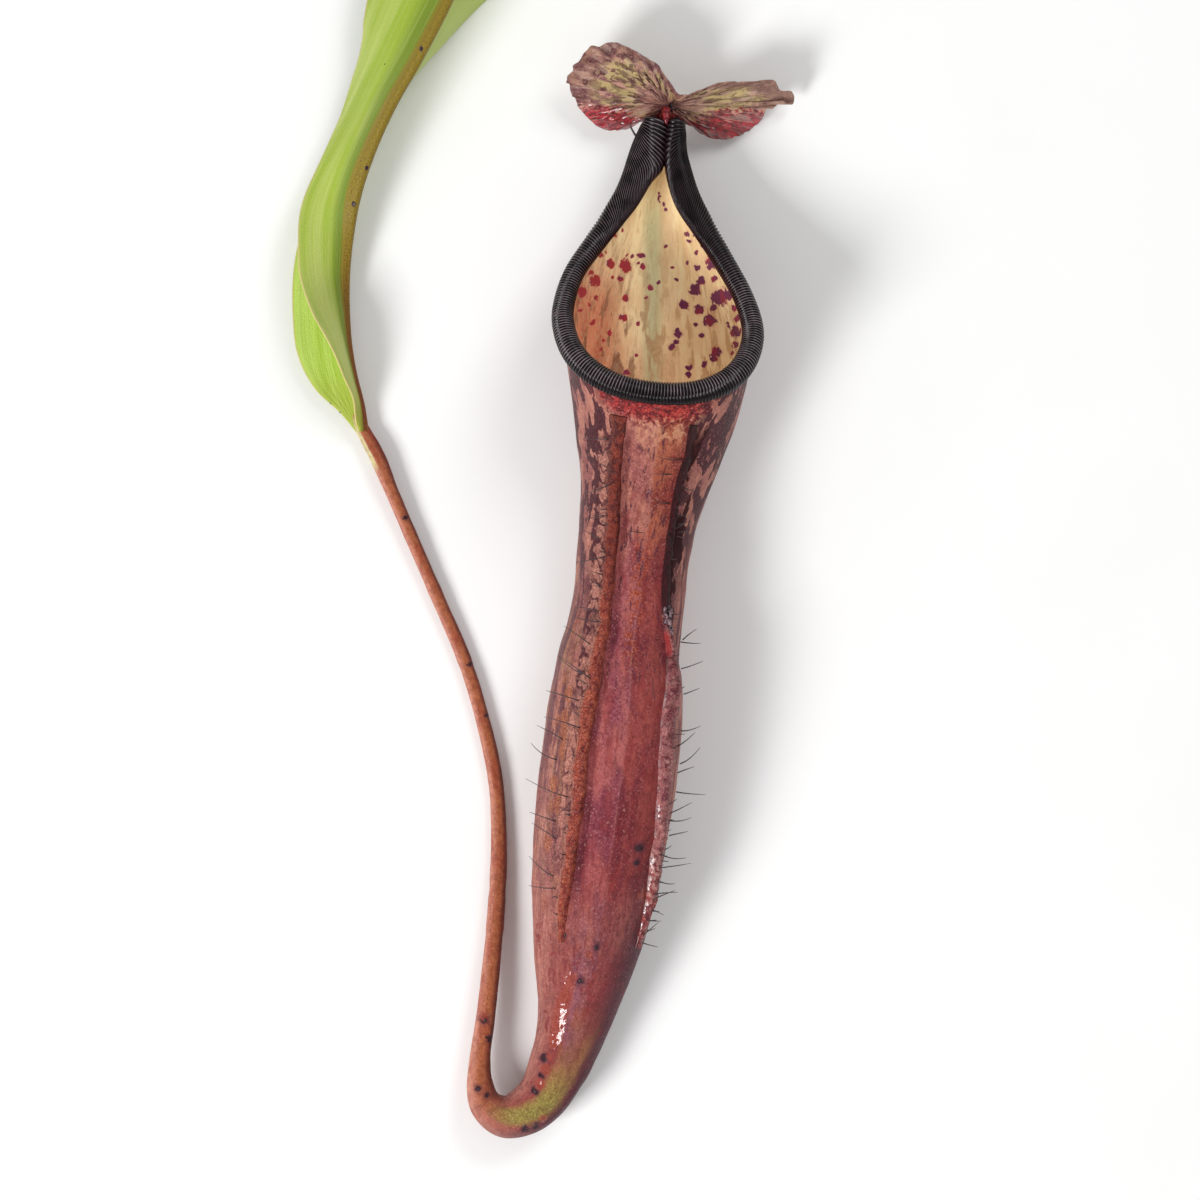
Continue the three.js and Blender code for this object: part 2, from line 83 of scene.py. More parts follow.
# angle round the mouth, half width, y, z, radius of the lip, tilt of its crest
RIM = [
    [0, 0.0, 40.7, 33.0, 2.60, 8], [25, 8.8, 42.0, 32.2, 2.55, 14], [50, 15.6, 46.2, 29.4, 2.50, 28],
    [70, 18.4, 51.3, 25.8, 2.40, 40], [90, 18.7, 57.2, 21.6, 2.30, 50], [105, 16.7, 63.4, 18.2, 2.20, 58],
    [120, 12.8, 70.0, 15.2, 2.30, 66], [135, 8.8, 76.3, 12.6, 2.60, 73], [146, 5.4, 82.1, 11.0, 3.00, 80],
    [156, 3.3, 88.6, 10.2, 3.00, 84], [165, 2.4, 96.4, 10.0, 1.95, 84], [172, 2.3, 96.6, 7.4, 1.80, 45],
    [180, 0.0, 96.6, 4.8, 1.60, 0]]
MOUTH_MIDDLE = [[40.5, 11.2], [56.8, 11.5], [65.1, 11.3], [72.2, 11.5], [78.4, 11.6], [84.6, 11.7],
                [90.6, 11.9], [94.8, 12.7], [98.8, 13.5]]
MOUTH_TILT = 0.09
LIP_HALF_TURN, ROOM_UNDER_LIP = 165, 0.45

# x, y, z of the midrib, width of each half, directions of the near and of the far half
BLADE_ROWS = [
    [-47.9, 34.2, 2.9, 1.5, 120, 200], [-48.8, 39.5, 2.9, 4.6, 92, 186], [-50.3, 45.6, 3.1, 8.4, 92, 186],
    [-51.3, 51.6, 3.3, 10.2, 98, 186], [-51.7, 57.7, 3.6, 10.5, 115, 188],
    [-51.7, 65.2, 4.6, 10.5, 136, 193], [-50.9, 72.7, 6.9, 10.3, 156, 208],
    [-49.1, 81.5, 10.6, 10.8, 200, 232], [-46.0, 90.3, 13.8, 12.7, 218, 252],
    [-41.8, 99.2, 16.0, 15.4, 220, 268], [-36.6, 108.0, 18.1, 18.0, 212, 280],
    [-30.6, 119.4, 19.4, 20.3, 206, 289], [-23.2, 137.0, 18.2, 21.3, 203, 306],
    [-18.1, 153.5, 14.2, 20.2, 202, 320], [-14.9, 170.2, 9.8, 15.5, 200, 332],
    [-13.1, 183.8, 6.4, 8.0, 197, 342], [-12.3, 192.2, 4.2, 3.4, 195, 345],
    [-11.9, 198.4, 3.4, 2.8, 195, 345]]
# degrees that a half of the blade bends over its width, and radius of its midrib
BLADE_ARCH, MIDRIB_RADIUS = 16, 1.15

# distance below the mouth, angle of the left and of the right wing, height
WINGS = [[-5, -20, 26, 0.15], [1, -26, 30, 0.4], [6, -27, 29, 0.8], [20, -24, 36, 0.9], [34, -23, 40, 0.9],
         [44, -19, 54, 1.0], [58, -24, 51, 1.0], [80, -23, 58, 1.0], [94, -27, 62, 1.0],
         [101, -28, 66, 0.45]]

# where the lid joins the neck
LID_JOINT = np.array([13.9, 99.9, 9.0])
# x and y of the lid's outline from that joint, from its right tip over the far side and back
LID_OUTLINE = [
    [25.2, 2.7], [23.8, 2.8], [22.6, 2.8], [21.9, 3.9], [21.5, 4.5], [20.4, 4.6], [18.5, 4.5], [16.3, 4.3],
    [14.4, 4.2], [12.2, 4.2], [10.3, 3.9], [8.4, 3.3], [7.2, 2.8], [5.9, 2.3], [4.7, 1.8], [3.1, 1.7],
    [2.2, 1.7], [1.2, 2.6], [0.0, 4.2], [-1.3, 5.8], [-2.2, 7.1], [-3.8, 8.4], [-5.4, 9.4], [-6.9, 10.2],
    [-8.5, 10.9], [-10.1, 11.6], [-11.6, 11.9], [-12.9, 11.7], [-14.2, 11.1], [-15.4, 11.3], [-16.3, 10.7],
    [-17.3, 9.9], [-18.2, 8.6], [-19.2, 7.7], [-19.5, 6.5], [-20.6, 5.5], [-20.7, 4.5], [-19.9, 4.2],
    [-19.8, 3.0], [-19.3, 2.0], [-18.7, 1.7], [-18.4, 0.4], [-17.6, -0.8], [-16.7, -1.9], [-15.5, -2.9],
    [-14.5, -3.8], [-13.2, -4.4], [-12.0, -4.7], [-10.4, -4.8], [-8.8, -4.6], [-7.6, -4.3], [-6.7, -3.6],
    [-5.4, -3.3], [-3.8, -3.2], [-1.8, -3.4], [0.0, -3.6], [2.2, -3.7], [3.7, -3.8], [4.7, -4.1],
    [5.6, -4.6], [6.2, -5.4], [7.5, -6.0], [9.1, -6.5], [10.9, -6.6], [12.2, -6.4], [13.8, -5.8],
    [15.3, -5.2], [16.9, -4.3], [18.2, -3.0], [19.1, -1.9], [20.0, -0.5], [21.0, -0.4], [21.9, 0.4],
    [22.4, 1.2], [23.2, 1.1], [24.1, 0.6], [24.9, 0.5]]
# x, y, z of the spur's root, middle and tip
SPUR = [[8.6, 92.2, 4.6], [6.9, 94.4, 4.8], [5.6, 97.0, 5.0]]
print("stalk rows:", len(STALK), "rim rows:", len(RIM), "blade rows:", len(BLADE_ROWS))

# %% [markdown]
# ## Curves through the rows
# A grown thing has no corners along its length, so every number in a row is carried on to the next row
# by a cubic curve. All values are numpy arrays, so one call gives thousands of points at once.


# %% Smooth curves and directions
def smooth(rows):
    """The first number of each row is t, the rest are values. Between rows i and i+1, with u from 0 to 1:
    value + (next - value) u^2 (3 - 2u) + span (u (1-u)^2 slope_i - u^2 (1-u) slope_next),
    where each slope is that of the parabola through the row and its two neighbours."""
    rows = np.asarray(rows, float)
    t, v = rows[:, 0], rows[:, 1:]
    gap = np.diff(t)[:, None]
    rise = np.diff(v, axis=0) / gap
    slope = np.concatenate([rise[:1], (rise[:-1] * gap[1:] + rise[1:] * gap[:-1]) / (gap[1:] + gap[:-1]),
                            rise[-1:]])

    def at(x):
        """The curve at x, by u, the share of the way from the row before x to the row after it."""
        x = np.asarray(x, float)
        i = np.clip(np.searchsorted(t, x, side="left") - 1, 0, len(t) - 2)
        span = (t[i + 1] - t[i])[..., None]
        u = np.clip((x - t[i])[..., None] / span, 0, 1)
        return (v[i] + (v[i + 1] - v[i]) * u * u * (3 - 2 * u)
                + span * (u * (1 - u) ** 2 * slope[i] - u * u * (1 - u) * slope[i + 1]))
    return at


def measured(rows, size):
    """Puts the distance from the first row in front of each row, through its first `size` numbers."""
    rows = np.asarray(rows, float)
    steps = np.linalg.norm(np.diff(rows[:, :size], axis=0), axis=1)
    return np.column_stack([np.concatenate([[0], np.cumsum(steps)]), rows])


def unit(v):
    """Each vector divided by its length."""
    return v / np.maximum(np.linalg.norm(v, axis=-1, keepdims=True), 1e-12)


def axes(direction):
    """Ahead, to its right along the table, and away from the table: up = right x ahead."""
    ahead = unit(direction)
    right = unit(np.stack([ahead[..., 1], -ahead[..., 0], np.zeros_like(ahead[..., 0])], -1))
    return ahead, right, np.cross(right, ahead)


def ease(x, low, high):
    """0 below low, 1 above high, and u^2 (3 - 2u) between."""
    u = np.clip((np.asarray(x, float) - low) / (high - low), 0, 1)
    return u * u * (3 - 2 * u)


print("an eased step half way:", ease(0.5, 0, 1))


# %% [markdown]
# ## From a grid of points to a mesh
# Every organ here is a loft: rings of points, each ring joined to the next. The inside of a sheet is the
# second half of each ring, so a sheet has a real thickness and closed edges. Numbers that a colour
# pattern needs, such as the distance from the mouth, are kept on the points as named vectors, so that a
# pattern follows the plant's surface however it bends.


# %% Lofts
def loft(name, grid, **fields):
    """Point i of ring r of copy k is grid[k, r, i]. Quads join i and i+1 on rings r and r+1. At both
    ends a flat strip joins the first half of the ring to the second. All faces are turned over together
    where the volume, a sixth of the sum of a . (b x c), comes out negative."""
    grid = np.asarray(grid, float)
    grid = grid[None] if grid.ndim == 3 else grid
    copies, rings, count = grid.shape[:3]
    index = np.arange(copies * rings * count).reshape(copies, rings, count)
    near, far = index[:, :-1], index[:, 1:]
    sides = np.stack([near, np.roll(near, -1, 2), np.roll(far, -1, 2), far], -1).reshape(-1, 4)
    k = np.arange(count // 2 - 1)

    def cap(ring):
        """Four-sided faces that close an end, each between points k and k + 1 of both halves of its ring."""
        return np.stack([ring[:, k + 1], ring[:, k], ring[:, count - 1 - k], ring[:, count - 2 - k]], -1)
    faces = np.concatenate([sides, cap(index[:, 0]).reshape(-1, 4),
                            cap(index[:, -1])[..., ::-1].reshape(-1, 4)])
    points = (grid.reshape(-1, 3) - CENTRE) * MM
    a, b, c, d = (points[faces[:, i]] for i in range(4))
    volume = np.einsum("ij,ij->", a, np.cross(b, c)) + np.einsum("ij,ij->", a, np.cross(c, d))
    if volume < 0:
        faces = faces[:, ::-1]
    mesh = bpy.data.meshes.new(name)
    mesh.from_pydata(points.tolist(), [], faces.tolist())
    mesh.polygons.foreach_set("use_smooth", np.arange(len(faces)) < len(sides))
    for field, values in fields.items():
        layer = mesh.attributes.new(field, "FLOAT_VECTOR", "POINT")
        layer.data.foreach_set("vector", np.ascontiguousarray(values, np.float32).reshape(-1))
    mesh.update()
    return mesh


def piece(mesh, finish, slot, *nodes):
    """Puts a mesh in the scene as a piece of the leaf, with its finish, in place of CAD nodes."""
    made = bpy.data.objects.new(mesh.name, mesh)
    scene.collection.objects.link(made)
    mesh.materials.append(finish)
    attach(made, "root")
    if nodes:
        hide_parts(*nodes)
    print(f"{mesh.name}: {sum(len(p.vertices) - 2 for p in mesh.polygons)} triangles")


# %% [markdown]
# ## Unevenness
# Nothing on a plant is quite even. Two helpers give repeatable unevenness on a surface measured in
# millimetres: a slow swell, and a crowd of small round grains like those along the wings.


# %% Swell and grains
def swell(u, v, size, seed):
    """Random heights at the corners of a square lattice of the given size, from -1 to 1, blended over
    each square by u^2 (3 - 2u) both ways."""
    table = np.random.default_rng(seed).uniform(-1, 1, (256, 256))
    x, y = np.asarray(u) / size, np.asarray(v) / size
    i, j = np.floor(x).astype(int), np.floor(y).astype(int)
    s, t = ease(x - i, 0, 1), ease(y - j, 0, 1)
    low = table[i % 256, j % 256] * (1 - s) + table[(i + 1) % 256, j % 256] * s
    high = table[i % 256, (j + 1) % 256] * (1 - s) + table[(i + 1) % 256, (j + 1) % 256] * s
    return low * (1 - t) + high * t


def grains(u, v, size, seed):
    """One grain in each square of a lattice, at a random place. The height is 1 - (distance / reach)^2
    above the nearest grain, where the reach is 0.62 of the lattice size, and 0 away from all."""
    shift = np.random.default_rng(seed).uniform(0.15, 0.85, (256, 256, 2))
    x, y = np.asarray(u) / size, np.asarray(v) / size
    i, j = np.floor(x).astype(int), np.floor(y).astype(int)
    nearest = np.full(np.shape(x), 9.0)
    for di in (-1, 0, 1):
        for dj in (-1, 0, 1):
            place = shift[(i + di) % 256, (j + dj) % 256]
            nearest = np.minimum(nearest, np.hypot(i + di + place[..., 0] - x, j + dj + place[..., 1] - y))
    return np.clip(1 - (nearest / 0.62) ** 2, 0, 1)


heights = swell(np.arange(99), np.arange(99), 3, 1)
print("swell between", heights.min().round(2), "and", heights.max().round(2))


# %% [markdown]
# ## Building finishes
# A finish is a tree of shader nodes. One helper adds a node to the tree that lies on the bench and feeds
# its inputs, either with a number or with another node's output, so a finish reads as a list of what is
# laid over what. Colours are given as the 0 to 255 values that a painter would read off, and turned into
# the linear values that the renderer works with.


# %% Nodes
bench = []


def build(tree, inside, *given):
    """Lays a tree on the bench while inside(*given) adds its nodes, and returns what inside returns."""
    bench.append(tree)
    made = inside(*given)
    bench.pop()
    return made


def add(kind, feeds=(), out=0, **settings):
    """Adds one node to the tree on the bench, applies its settings, feeds {input: value or socket}, and
    returns one output."""
    node = bench[-1].nodes.new("ShaderNode" + kind)
    for key, value in settings.items():
        setattr(node, key, value)
    for key, value in dict(feeds).items():
        if isinstance(value, bpy.types.NodeSocket):
            bench[-1].links.new(value, node.inputs[key])
        else:
            node.inputs[key].default_value = value
    return node.outputs[out]


def numbers(field):
    """The vector kept on the points under a name, and its three numbers."""
    vector = add("Attribute", out=1, attribute_name=field)
    return vector, *add("SeparateXYZ", {0: vector}).node.outputs[:3]


# %% Colours
def paint(colour):
    """The linear colour: c / 12.92 below 0.04045 and ((c + 0.055) / 1.055)^2.4 above. One that comes
    from a node is linear already."""
    if isinstance(colour, bpy.types.NodeSocket):
        return colour
    c = np.array(colour) / 255
    linear = np.where(c <= 0.04045, c / 12.92, ((c + 0.055) / 1.055) ** 2.4)
    return (*linear.tolist(), 1.0)


def over(mask, under, top):
    """The colour `top` laid over `under` as far as the mask goes from 0 to 1."""
    return add("Mix", {0: mask, 6: paint(under), 7: paint(top)}, 2, data_type="RGBA")


def washes(colour, *coats):
    """Coats of (mask, colour) laid over a colour, one after another."""
    for mask, top in coats:
        colour = over(mask, colour, top)
    return colour


def shade(mask, under, tint):
    """The colour multiplied by a linear tint as far as the mask goes, as a wash darkens a painting."""
    return add("Mix", {0: mask, 6: under, 7: (*tint, 1.0)}, 2, data_type="RGBA", blend_type="MULTIPLY")


print("mid grey in linear light:", round(paint((128, 128, 128))[0], 3))


# %% Masks
def sums(way, a, b=0.0):
    """One sum of one or two numbers, such as DIVIDE or ABSOLUTE."""
    return add("Math", {0: a, 1: b}, operation=way)


def plus(a, b):
    """a + b"""
    return sums("ADD", a, b)


def minus(a, b):
    """a - b"""
    return sums("SUBTRACT", a, b)


def both(product, *masks):
    """The product of all the masks: 1 only where every one is 1."""
    for mask in masks:
        product = sums("MULTIPLY", product, mask)
    return product


def sway(noise, amount):
    """(noise - 0.5) x amount, which pushes a border to and fro."""
    return both(minus(noise, 0.5), amount)


def step(value, low, high, start=0.0, end=1.0):
    """Goes from start to end while the value goes from low to high, with soft ends."""
    return add("MapRange", {0: value, 1: low, 2: high, 3: start, 4: end}, interpolation_type="SMOOTHSTEP")


def band(value, middle, half, soft):
    """1 within half of the middle value, falling to 0 over the soft width outside it."""
    return step(sums("ABSOLUTE", minus(value, middle)), half + soft, half)


# %% [markdown]
# ## The effects that the finishes share
# Three effects return on nearly every organ, so each is a node group that is built once. Streaks are
# long blotches that run with the growth, and the slow noise under them also blends one tone into
# another. Felt is the fine light and dark speckle of a hairy skin, which also gives the small bumps.
# Dots are small round marks with soft edges.


# %% Streaks, felt and dots
def group(name, takes, gives, inside):
    """A shader node group. takes is {input: value}, with None for a vector, and gives lists the outputs;
    inside(inputs) returns what feeds them."""
    tree = bpy.data.node_groups.new(name, "ShaderNodeTree")
    for label, value in takes.items():
        kind = "NodeSocketVector" if value is None else "NodeSocketFloat"
        socket = tree.interface.new_socket(label, in_out="INPUT", socket_type=kind)
        if value is not None:
            socket.default_value = value
    for label in gives:
        tree.interface.new_socket(label, in_out="OUTPUT", socket_type="NodeSocketFloat")
    ins, outs = tree.nodes.new("NodeGroupInput"), tree.nodes.new("NodeGroupOutput")
    for label, socket in build(tree, inside, ins.outputs).items():
        tree.links.new(socket, outs.inputs[label])
    return tree


def streaks_inside(take):
    """Value = noise at flow / (width, width, length). Mask = 0 to 1 while the value goes from
    1 - cover - blur to 1 - cover + blur."""
    wide, long = sums("DIVIDE", 1.0, take["Width"]), sums("DIVIDE", 1.0, take["Length"])
    scale = add("CombineXYZ", {0: wide, 1: wide, 2: long})
    where = add("VectorMath", {0: take["Flow"], 1: scale}, operation="MULTIPLY")
    noise = add("TexNoise", {"Vector": where, "Scale": 1.0, "Detail": 3.0, "Roughness": 0.55,
                             "Distortion": 0.25})
    low = minus(1.0, take["Cover"])
    return {"Mask": step(noise, minus(low, take["Blur"]), plus(low, take["Blur"])), "Value": noise}


def felt_inside(take):
    """Noise at flow / size, its middle stretched to go from 0 to 1."""
    scale = sums("DIVIDE", 1.0, take["Size"])
    fine = add("TexNoise", {"Vector": take["Flow"], "Scale": scale, "Detail": 4.0, "Roughness": 0.7})
    return {"Tone": step(fine, 0.3, 0.7)}


def dots_inside(take):
    """Cells of the given size with a point in each: 1 within 0.75 share of the point, 0 beyond 1.35
    share, and only in the half of the cells whose random number is above 0.5."""
    cells = add("TexVoronoi", {"Vector": take["Flow"], "Scale": sums("DIVIDE", 1.0, take["Size"]),
                               "Randomness": 1.0}).node
    near = step(cells.outputs[0], both(take["Share"], 1.35), both(take["Share"], 0.75))
    pick = add("SeparateColor", {0: cells.outputs[1]})
    return {"Mask": both(near, step(pick, 0.45, 0.5))}


STREAKS = group("streaks", {"Flow": None, "Width": 2.0, "Length": 10.0, "Cover": 0.5, "Blur": 0.03},
                ["Mask", "Value"], streaks_inside)
FELT = group("felt grain", {"Flow": None, "Size": 0.35}, ["Tone"], felt_inside)
DOTS = group("dots", {"Flow": None, "Size": 3.0, "Share": 0.2}, ["Mask"], dots_inside)
print("effects:", [g.name for g in bpy.data.node_groups])


# %% Placing the effects
def streak(flow, width, length, cover, blur):
    """The mask of the streaks, with its own width, length, cover and blur."""
    feeds = {"Flow": flow, "Width": width, "Length": length, "Cover": cover, "Blur": blur}
    return add("Group", feeds, node_tree=STREAKS)


def drift(flow, width, length):
    """The slow noise under the streaks, mostly between 0.3 and 0.7."""
    return add("Group", {"Flow": flow, "Width": width, "Length": length}, 1, node_tree=STREAKS)


def felt(flow, size):
    """The tone of the felt, from 0 in its pores to 1 on its hairs."""
    return add("Group", {"Flow": flow, "Size": size}, node_tree=FELT)


def dotted(flow, size, share):
    """The mask of the dots."""
    return add("Group", {"Flow": flow, "Size": size, "Share": share}, node_tree=DOTS)


def grit(scale, detail=3.0):
    """Fine noise on the piece's own coordinates, for small dark parts without a direction of growth."""
    return add("TexNoise", {"Vector": add("TexCoord", out=3), "Scale": scale, "Detail": detail})


# %% [markdown]
# ## A finish and its shader
# Each finish is one Principled shader. Nodes feed what varies over the surface: colour, roughness, the
# wet coat, the small bumps. How much the surface mirrors, how hazy its coat is and how strong a painted
# glow it gives off are the same everywhere, so they are plain numbers on the shader.


# %% Finishes
def finish(name, inside, specular=0.5, sheen=0.0, coat_roughness=0.25, painted_glow=0.0):
    """A material: inside() returns {input of the Principled shader: socket}."""
    made = bpy.data.materials.new(name)
    made.use_nodes = True
    shader = made.node_tree.nodes["Principled BSDF"]
    constants = {"Specular IOR Level": specular, "Sheen Weight": sheen, "Sheen Roughness": 0.4,
                 "Coat Roughness": coat_roughness, "Emission Strength": painted_glow}
    for label, value in constants.items():
        shader.inputs[label].default_value = value
    for label, socket in build(made.node_tree, inside).items():
        made.node_tree.links.new(socket, shader.inputs[label])
    return made


def bump(height, depth_mm):
    """A bump of the given depth in millimetres."""
    return add("Bump", {"Height": height, "Distance": depth_mm * MM, "Strength": 1.0})


def gritty(name, scale, dark, light, low=0.35, high=0.65, rough=(0.2, 0.5), depth=0.1):
    """A finish whose grit blends a dark colour into a light one, with roughness and bumps from it too."""
    def inside():
        """Colour, roughness and bumps, all from one noise."""
        noise = grit(scale)
        return {"Base Color": over(step(noise, low, high), dark, light),
                "Roughness": step(noise, 0.3, 0.7, *rough), "Normal": bump(noise, depth)}
    return finish(name, inside)


# %% [markdown]
# ## The stalk and the pitcher's outside
# Tendril and pitcher are one growing tube. Its middle line follows the STALK rows, and each cross
# section is an ellipse, so a point is given by how far along it is and by its angle from the upper
# side. The underside is pressed flat where it lies on the table.


# %% The stalk as a function of run and angle
stalk_rows = measured(STALK, 2)
stalk = smooth(stalk_rows)
FOOT, HOLLOW, TOP = (stalk_rows[i, 0] for i in (FOOT_ROW, HOLLOW_ROW, -1))


def stalk_centre(run):
    """x and y from the rows, z = underside + half depth."""
    v = stalk(run)
    return np.stack([v[..., 0], v[..., 1], v[..., 2] + v[..., 4]], -1)


def stalk_point(run, angle, inset=0.0):
    """centre + right (half width - inset) sin(angle) + up (half depth - inset) cos(angle). Round the
    sharp bend at the foot the direction is taken over a longer piece, so that the rings don't cross."""
    run, angle = np.broadcast_arrays(np.asarray(run, float), np.asarray(angle, float))
    v = stalk(run)
    ahead_by = 0.2 + 2.6 * ease(run, FOOT - 16, FOOT - 4) * ease(run, FOOT + 24, FOOT + 10)
    _, right, up = axes(stalk_centre(run + ahead_by) - stalk_centre(run - ahead_by))
    a = np.radians(angle)
    return (stalk_centre(run) + right * ((v[..., 3] - inset) * sin(a))[..., None]
            + up * ((v[..., 4] - inset) * cos(a))[..., None])


wing_rows = smooth(WINGS)
print("stalk from the blade's tip to the foot:", FOOT.round(1), "mm; to the mouth:", TOP.round(1), "mm")


# %% [markdown]
# ## The mouth
# The rim is one closed curve round the mouth: low at the front, drawn up into a neck at the back. At
# each angle the wall leaves the ring under the mouth the way the pitcher flares there, and bends over
# to meet the rim. A cubic curve does that in one formula.


# %% The rim and the flare as functions
# one mirrored row before 0 and one after 180 degrees keep the curve smooth there
front_row = [-RIM[1][0], -RIM[1][1], *RIM[1][2:]]
back_row = [360 - RIM[-2][0], -RIM[-2][1], *RIM[-2][2:]]
rim_rows, mouth_middle = smooth([front_row] + RIM + [back_row]), smooth(MOUTH_MIDDLE)


def rim_place(angle):
    """x = the mouth's middle + the half width to that side, y less the tilt, and z."""
    turned = (angle + 540) % 360 - 180
    v = rim_rows(np.abs(turned))
    across = np.sign(turned) * v[..., 0]
    x = mouth_middle(v[..., 1])[..., 0] + across
    return np.stack([x, v[..., 1] - MOUTH_TILT * across, v[..., 2]], -1)


def rim(angle):
    """Place, way out of the mouth (along x crest), way over the crest (out x along), and radius."""
    v = rim_rows(np.abs(angle))
    along = unit(rim_place(angle + 0.5) - rim_place(angle - 0.5))
    tilt = np.radians(v[..., 4])
    out = unit(np.cross(along, np.stack([np.zeros_like(tilt), cos(tilt), sin(tilt)], -1)))
    return rim_place(angle), out, np.cross(out, along), v[..., 3]


def wrapped(angle):
    """The same angle between -180 and 180 degrees."""
    return (np.asarray(angle, float) + 180) % 360 - 180


def mouth_point(share, angle, side):
    """The cubic curve start (1-s)^3 + 3 leave s (1-s)^2 + 3 arrive s^2 (1-s) + end s^3, from the ring
    under the mouth to the rim. side is 1 for the outer face and -1 for the inner one."""
    share, angle = np.broadcast_arrays(np.asarray(share, float), wrapped(angle))
    inset = 0.0 if side > 0 else WALL
    start = stalk_point(TOP, angle, inset)
    flare = unit(start - stalk_point(TOP - 2, angle, inset))
    at, out, crest, radius = rim(angle)
    end = at + crest * (radius - LIP_SHEET - ROOM_UNDER_LIP)[..., None] + out * (side * WALL / 2)
    reach = np.linalg.norm(end - start, axis=-1, keepdims=True)
    leave, arrive = start + flare * 0.38 * reach, end - crest * np.minimum(0.3 * reach, 4.5)
    s = share[..., None]
    return start * (1 - s) ** 3 + leave * 3 * s * (1 - s) ** 2 + arrive * 3 * s * s * (1 - s) + end * s ** 3


def outer_point(down, angle):
    """The skin at a distance below the ring under the mouth. Above that ring, where the distance is
    negative, it is the flare's cubic curve at the share -distance / reach."""
    down, angle = np.broadcast_arrays(np.asarray(down, float), np.asarray(angle, float))
    body_part = stalk_point(TOP - np.maximum(down, 0), angle)
    flare_part = mouth_point(np.clip(-down / flare_reach(angle), 0, 1), angle, 1)
    return np.where((down >= 0)[..., None], body_part, flare_part)


def flare_reach(angle):
    """The straight distance from the ring under the mouth to the rim."""
    return np.linalg.norm(mouth_point(1.0, angle, 1) - mouth_point(0.0, angle, 1), axis=-1)


# %% [markdown]
# ## Marks that have their own places
# Some marks stand where they stand on the real leaf: the dark nectar glands, the wet places, and the
# spots inside the mouth. An image could hold them, but a list of places stays sharp at any distance.
# Each is an x, a y and a size, seen from above, and each point of a piece keeps how deep it lies in one.

# %% Glands: x, y, and length of each
GLANDS = np.array([
    [-23.3, -84.7, 1.5], [-22.3, -88.5, 1.1], [-24.7, -98.6, 1.3], [-22.7, -99.8, 1.1], [-11.3, -91.9, 1.4],
    [-11.9, -95.6, 1.0], [-13.1, -98.6, 1.3], [-15.2, -106.5, 1.2], [-12.9, -106.0, 1.2],
    [-0.6, -69.0, 1.5], [-4.0, -76.1, 1.4], [7.9, -49.3, 1.7], [-39.3, 16.6, 0.8], [-26.3, -13.0, 0.9],
    [-22.9, -23.5, 0.8], [-36.3, 110.4, 1.9], [-46.2, 86.4, 1.9], [-50.0, 79.7, 2.1], [-52.6, 38.0, 0.7],
    [-54.4, 39.7, 0.6], [-7.2, -67.0, 1.2], [-43.2, 107.5, 0.7], [-12.4, -33.6, 1.0], [7.4, -52.4, 1.1]])


# %% Wet places on the foot and the lower pitcher: x, y, radius
WET = np.array([
    [-5.5, -75.4, 1.4], [-6.2, -77.2, 1.7], [-6.8, -79.0, 1.9], [-7.4, -80.8, 2.1], [-7.9, -82.6, 2.1],
    [-8.3, -84.4, 2.0], [-8.7, -86.2, 1.8], [-9.2, -88.0, 1.6], [-9.5, -89.2, 1.1], [-10.2, -91.8, 0.9],
    [-10.9, -94.3, 1.5], [-12.0, -97.2, 1.6], [-2.2, -70.6, 1.1], [-11.4, -104.2, 1.1], [-23.4, -84.2, 1.1],
    [8.4, -59.0, 1.3]])


# %% How near a point is to a mark
def deep_in(points, marks, spread, ragged=0.0):
    """The largest of 1 - distance / (spread x size) over all marks, seen from above, at least -1. The
    points are first moved by swells of up to `ragged` millimetres, which makes the outlines uneven."""
    x, y = points[..., 0], points[..., 1]
    x, y = x + ragged * swell(x, y, 0.75, 61), y + ragged * swell(x, y, 0.75, 62)
    gap = np.hypot(x[..., None] - marks[:, 0], y[..., None] - marks[:, 1])
    return np.clip((1 - gap / (marks[:, 2] * spread)).max(-1), -1, 1)


print("glands:", len(GLANDS), "flare at the front:", flare_reach(np.array(0.0)).round(1), "mm")

# %% [markdown]
# ## What the skin's finish needs to know
# Four vectors are kept on the points of tendril and pitcher. `flow` is the place across, up and along,
# in millimetres, for streaks that run with the growth. `place` holds the distance down from the mouth,
# the distance from the blade's tip and the angle. `lines` holds the distances round the tube from its
# front middle line and from the two wings, for the changes of colour there. `marks` holds how deep the
# point lies in a gland and in a wet place.


# %% The skin's fields
def skin_fields(points, run, angle, rise=0.0):
    """flow = (width sin a, depth cos a, run + rise over the flare); below = distance to the rim;
    lines = (angle - angle of the line) in radians x radius; marks = gland, wet patch."""
    run, angle, rise = np.broadcast_arrays(run, angle, rise)
    below = TOP - run - rise + flare_reach(angle)
    v = stalk(run)
    a = np.radians(angle)
    radius = (v[..., 3] + v[..., 4]) / 2
    wing = wing_rows(TOP - run - rise)
    crest = 4 + 7 * ease(TOP - run - rise, 0, 25)
    line_angles = np.stack([crest, wing[..., 0], wing[..., 1]], -1)
    lines = np.radians(angle[..., None] - line_angles) * radius[..., None]
    flow = np.stack([v[..., 3] * sin(a), v[..., 4] * cos(a), run + rise], -1)
    upper = ease(cos(a), 0.0, 0.2)
    wet = np.maximum(deep_in(points, WET, 1.0), 0) * upper
    marks = np.stack([deep_in(points, GLANDS, 1.0, 0.3) * upper - (1 - upper), wet, 0 * wet], -1)
    return dict(flow=flow, place=np.stack([below, run, angle / 180], -1), lines=lines, marks=marks)


